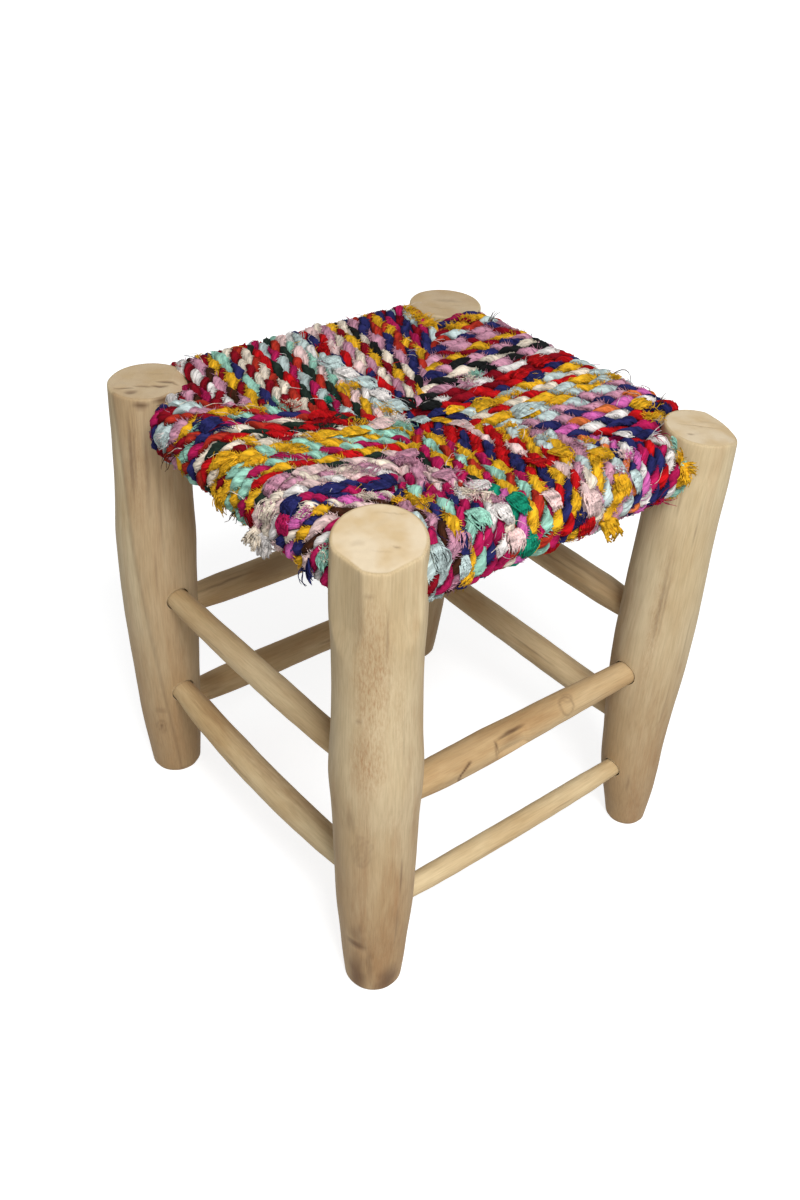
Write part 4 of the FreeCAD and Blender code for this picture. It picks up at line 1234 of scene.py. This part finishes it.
def make_camera():
    """The camera, at the photograph's place and angle."""
    azimuth, elevation, roll = (math.radians(v) for v in CAMERA_ANGLES)
    level = math.cos(elevation)
    back = Vector((math.sin(azimuth) * level, -math.cos(azimuth) * level, math.sin(elevation)))
    right = (-back).cross(Vector((0, 0, 1))).normalized()
    up = right.cross(-back)
    side = right * math.cos(roll) + up * math.sin(roll)
    rise = -right * math.sin(roll) + up * math.cos(roll)
    lens = bpy.data.cameras.new("camera")
    lens.lens = CAMERA_LENS
    lens.sensor_width = CAMERA_SENSOR
    camera = bpy.data.objects.new("camera", lens)
    stand = Matrix((side, rise, back)).transposed().to_4x4()
    stand.translation = Vector(CAMERA_TARGET) * MM + back * CAMERA_DISTANCE * MM
    camera.matrix_world = stand
    bpy.context.scene.collection.objects.link(camera)
    bpy.context.scene.camera = camera


def make_light(name, place, size, power):
    """A soft square light that faces the stool."""
    light = bpy.data.lights.new(name, "AREA")
    light.size = size
    light.energy = power
    lamp = bpy.data.objects.new(name, light)
    lamp.location = place
    lamp.rotation_mode = "QUATERNION"
    lamp.rotation_quaternion = (Vector(place) - LIGHT_TARGET).to_track_quat("Z", "Y")
    bpy.context.scene.collection.objects.link(lamp)


def background_share(tree):
    """1 for rays that should see the plain white background, and 0 for the light that rays carry."""
    rays = node_of(tree, "ShaderNodeLightPath").outputs
    seen = math_of(tree, "ADD", rays["Is Camera Ray"], rays["Is Glossy Ray"])
    return math_of(tree, "ADD", seen, rays["Is Transmission Ray"])


def make_floor():
    """A pale floor that keeps the shadow by the stool and turns into plain white further off."""
    bpy.ops.mesh.primitive_plane_add(size=FLOOR_SIZE)
    floor = bpy.context.object
    floor.name = "studio_floor"
    material, tree, shader = new_material("studio_white", 0.9, 0.0)
    shader.inputs["Base Color"].default_value = (*linear(*FLOOR_PAINT), 1)
    shader.inputs["Emission Color"].default_value = WHITE
    far = node_of(tree, "ShaderNodeVectorMath", operation="LENGTH")
    tree.links.new(node_of(tree, "ShaderNodeTexCoord").outputs["Object"], far.inputs[0])
    lift = node_of(tree, "ShaderNodeMapRange")
    sockets = ("Value", "From Min", "From Max", "To Min", "To Max")
    for socket, value in zip(sockets, (far.outputs["Value"], *FLOOR_NEAR, FLOOR_LIFT, 1.0)):
        feed(tree, lift.inputs[socket], value)
    glow = math_of(tree, "MULTIPLY", background_share(tree), lift.outputs[0])
    tree.links.new(glow, shader.inputs["Emission Strength"])
    floor.data.materials.append(material)


def make_world():
    """A soft world light that is seen as plain white."""
    world = bpy.context.scene.world or bpy.data.worlds.new("studio")
    bpy.context.scene.world = world
    world.use_nodes = True
    tree = world.node_tree
    tree.nodes.clear()
    mix = node_of(tree, "ShaderNodeMixShader")
    tree.links.new(background_share(tree), mix.inputs[0])
    for number, strength in ((1, AMBIENT), (2, 1.0)):
        light = node_of(tree, "ShaderNodeBackground")
        light.inputs["Color"].default_value = WHITE
        light.inputs["Strength"].default_value = strength
        tree.links.new(light.outputs[0], mix.inputs[number])
    output = node_of(tree, "ShaderNodeOutputWorld")
    tree.links.new(mix.outputs[0], output.inputs["Surface"])


bpy.context.scene.view_settings.view_transform = "Standard"
leg_wood = wood_material(
    "leg_wood_peeled",
    ((215, 197, 161), (195, 172, 133), (150, 102, 56), (78, 46, 26), (219, 201, 171)),
)
rung_wood = wood_material(
    "rung_wood_peeled",
    ((226, 204, 162), (200, 170, 124), (148, 98, 52), (74, 44, 26), (222, 200, 166)),
)
rag_rope = rag_material()

for seed, leg in enumerate(LEGS, start=1):
    peeled = make_leg(leg, seed)
    bore_leg(peeled, leg)
    peeled.data.materials.clear()
    peeled.data.materials.append(leg_wood)
    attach(peeled, "root")
    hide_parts(f"leg_{leg}")
for seed, rung in enumerate(RUNGS, start=11):
    whittled = make_rung(rung, seed)
    whittled.data.materials.append(rung_wood)
    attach(whittled, "root")
    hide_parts(f"rung_{rung}")
for seed, side in enumerate(SIDES, start=31):
    for rope in make_rope_side(side, seed):
        rope.data.materials.append(rag_rope)
        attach(rope, "root")
        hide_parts(f"seat_rope_{side}")
    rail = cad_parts[f"seat_rail_{side}"]
    rail.data.materials.clear()
    rail.data.materials.append(rung_wood)

make_floor()
make_world()
for light in LIGHTS:
    make_light(*light)
make_camera()
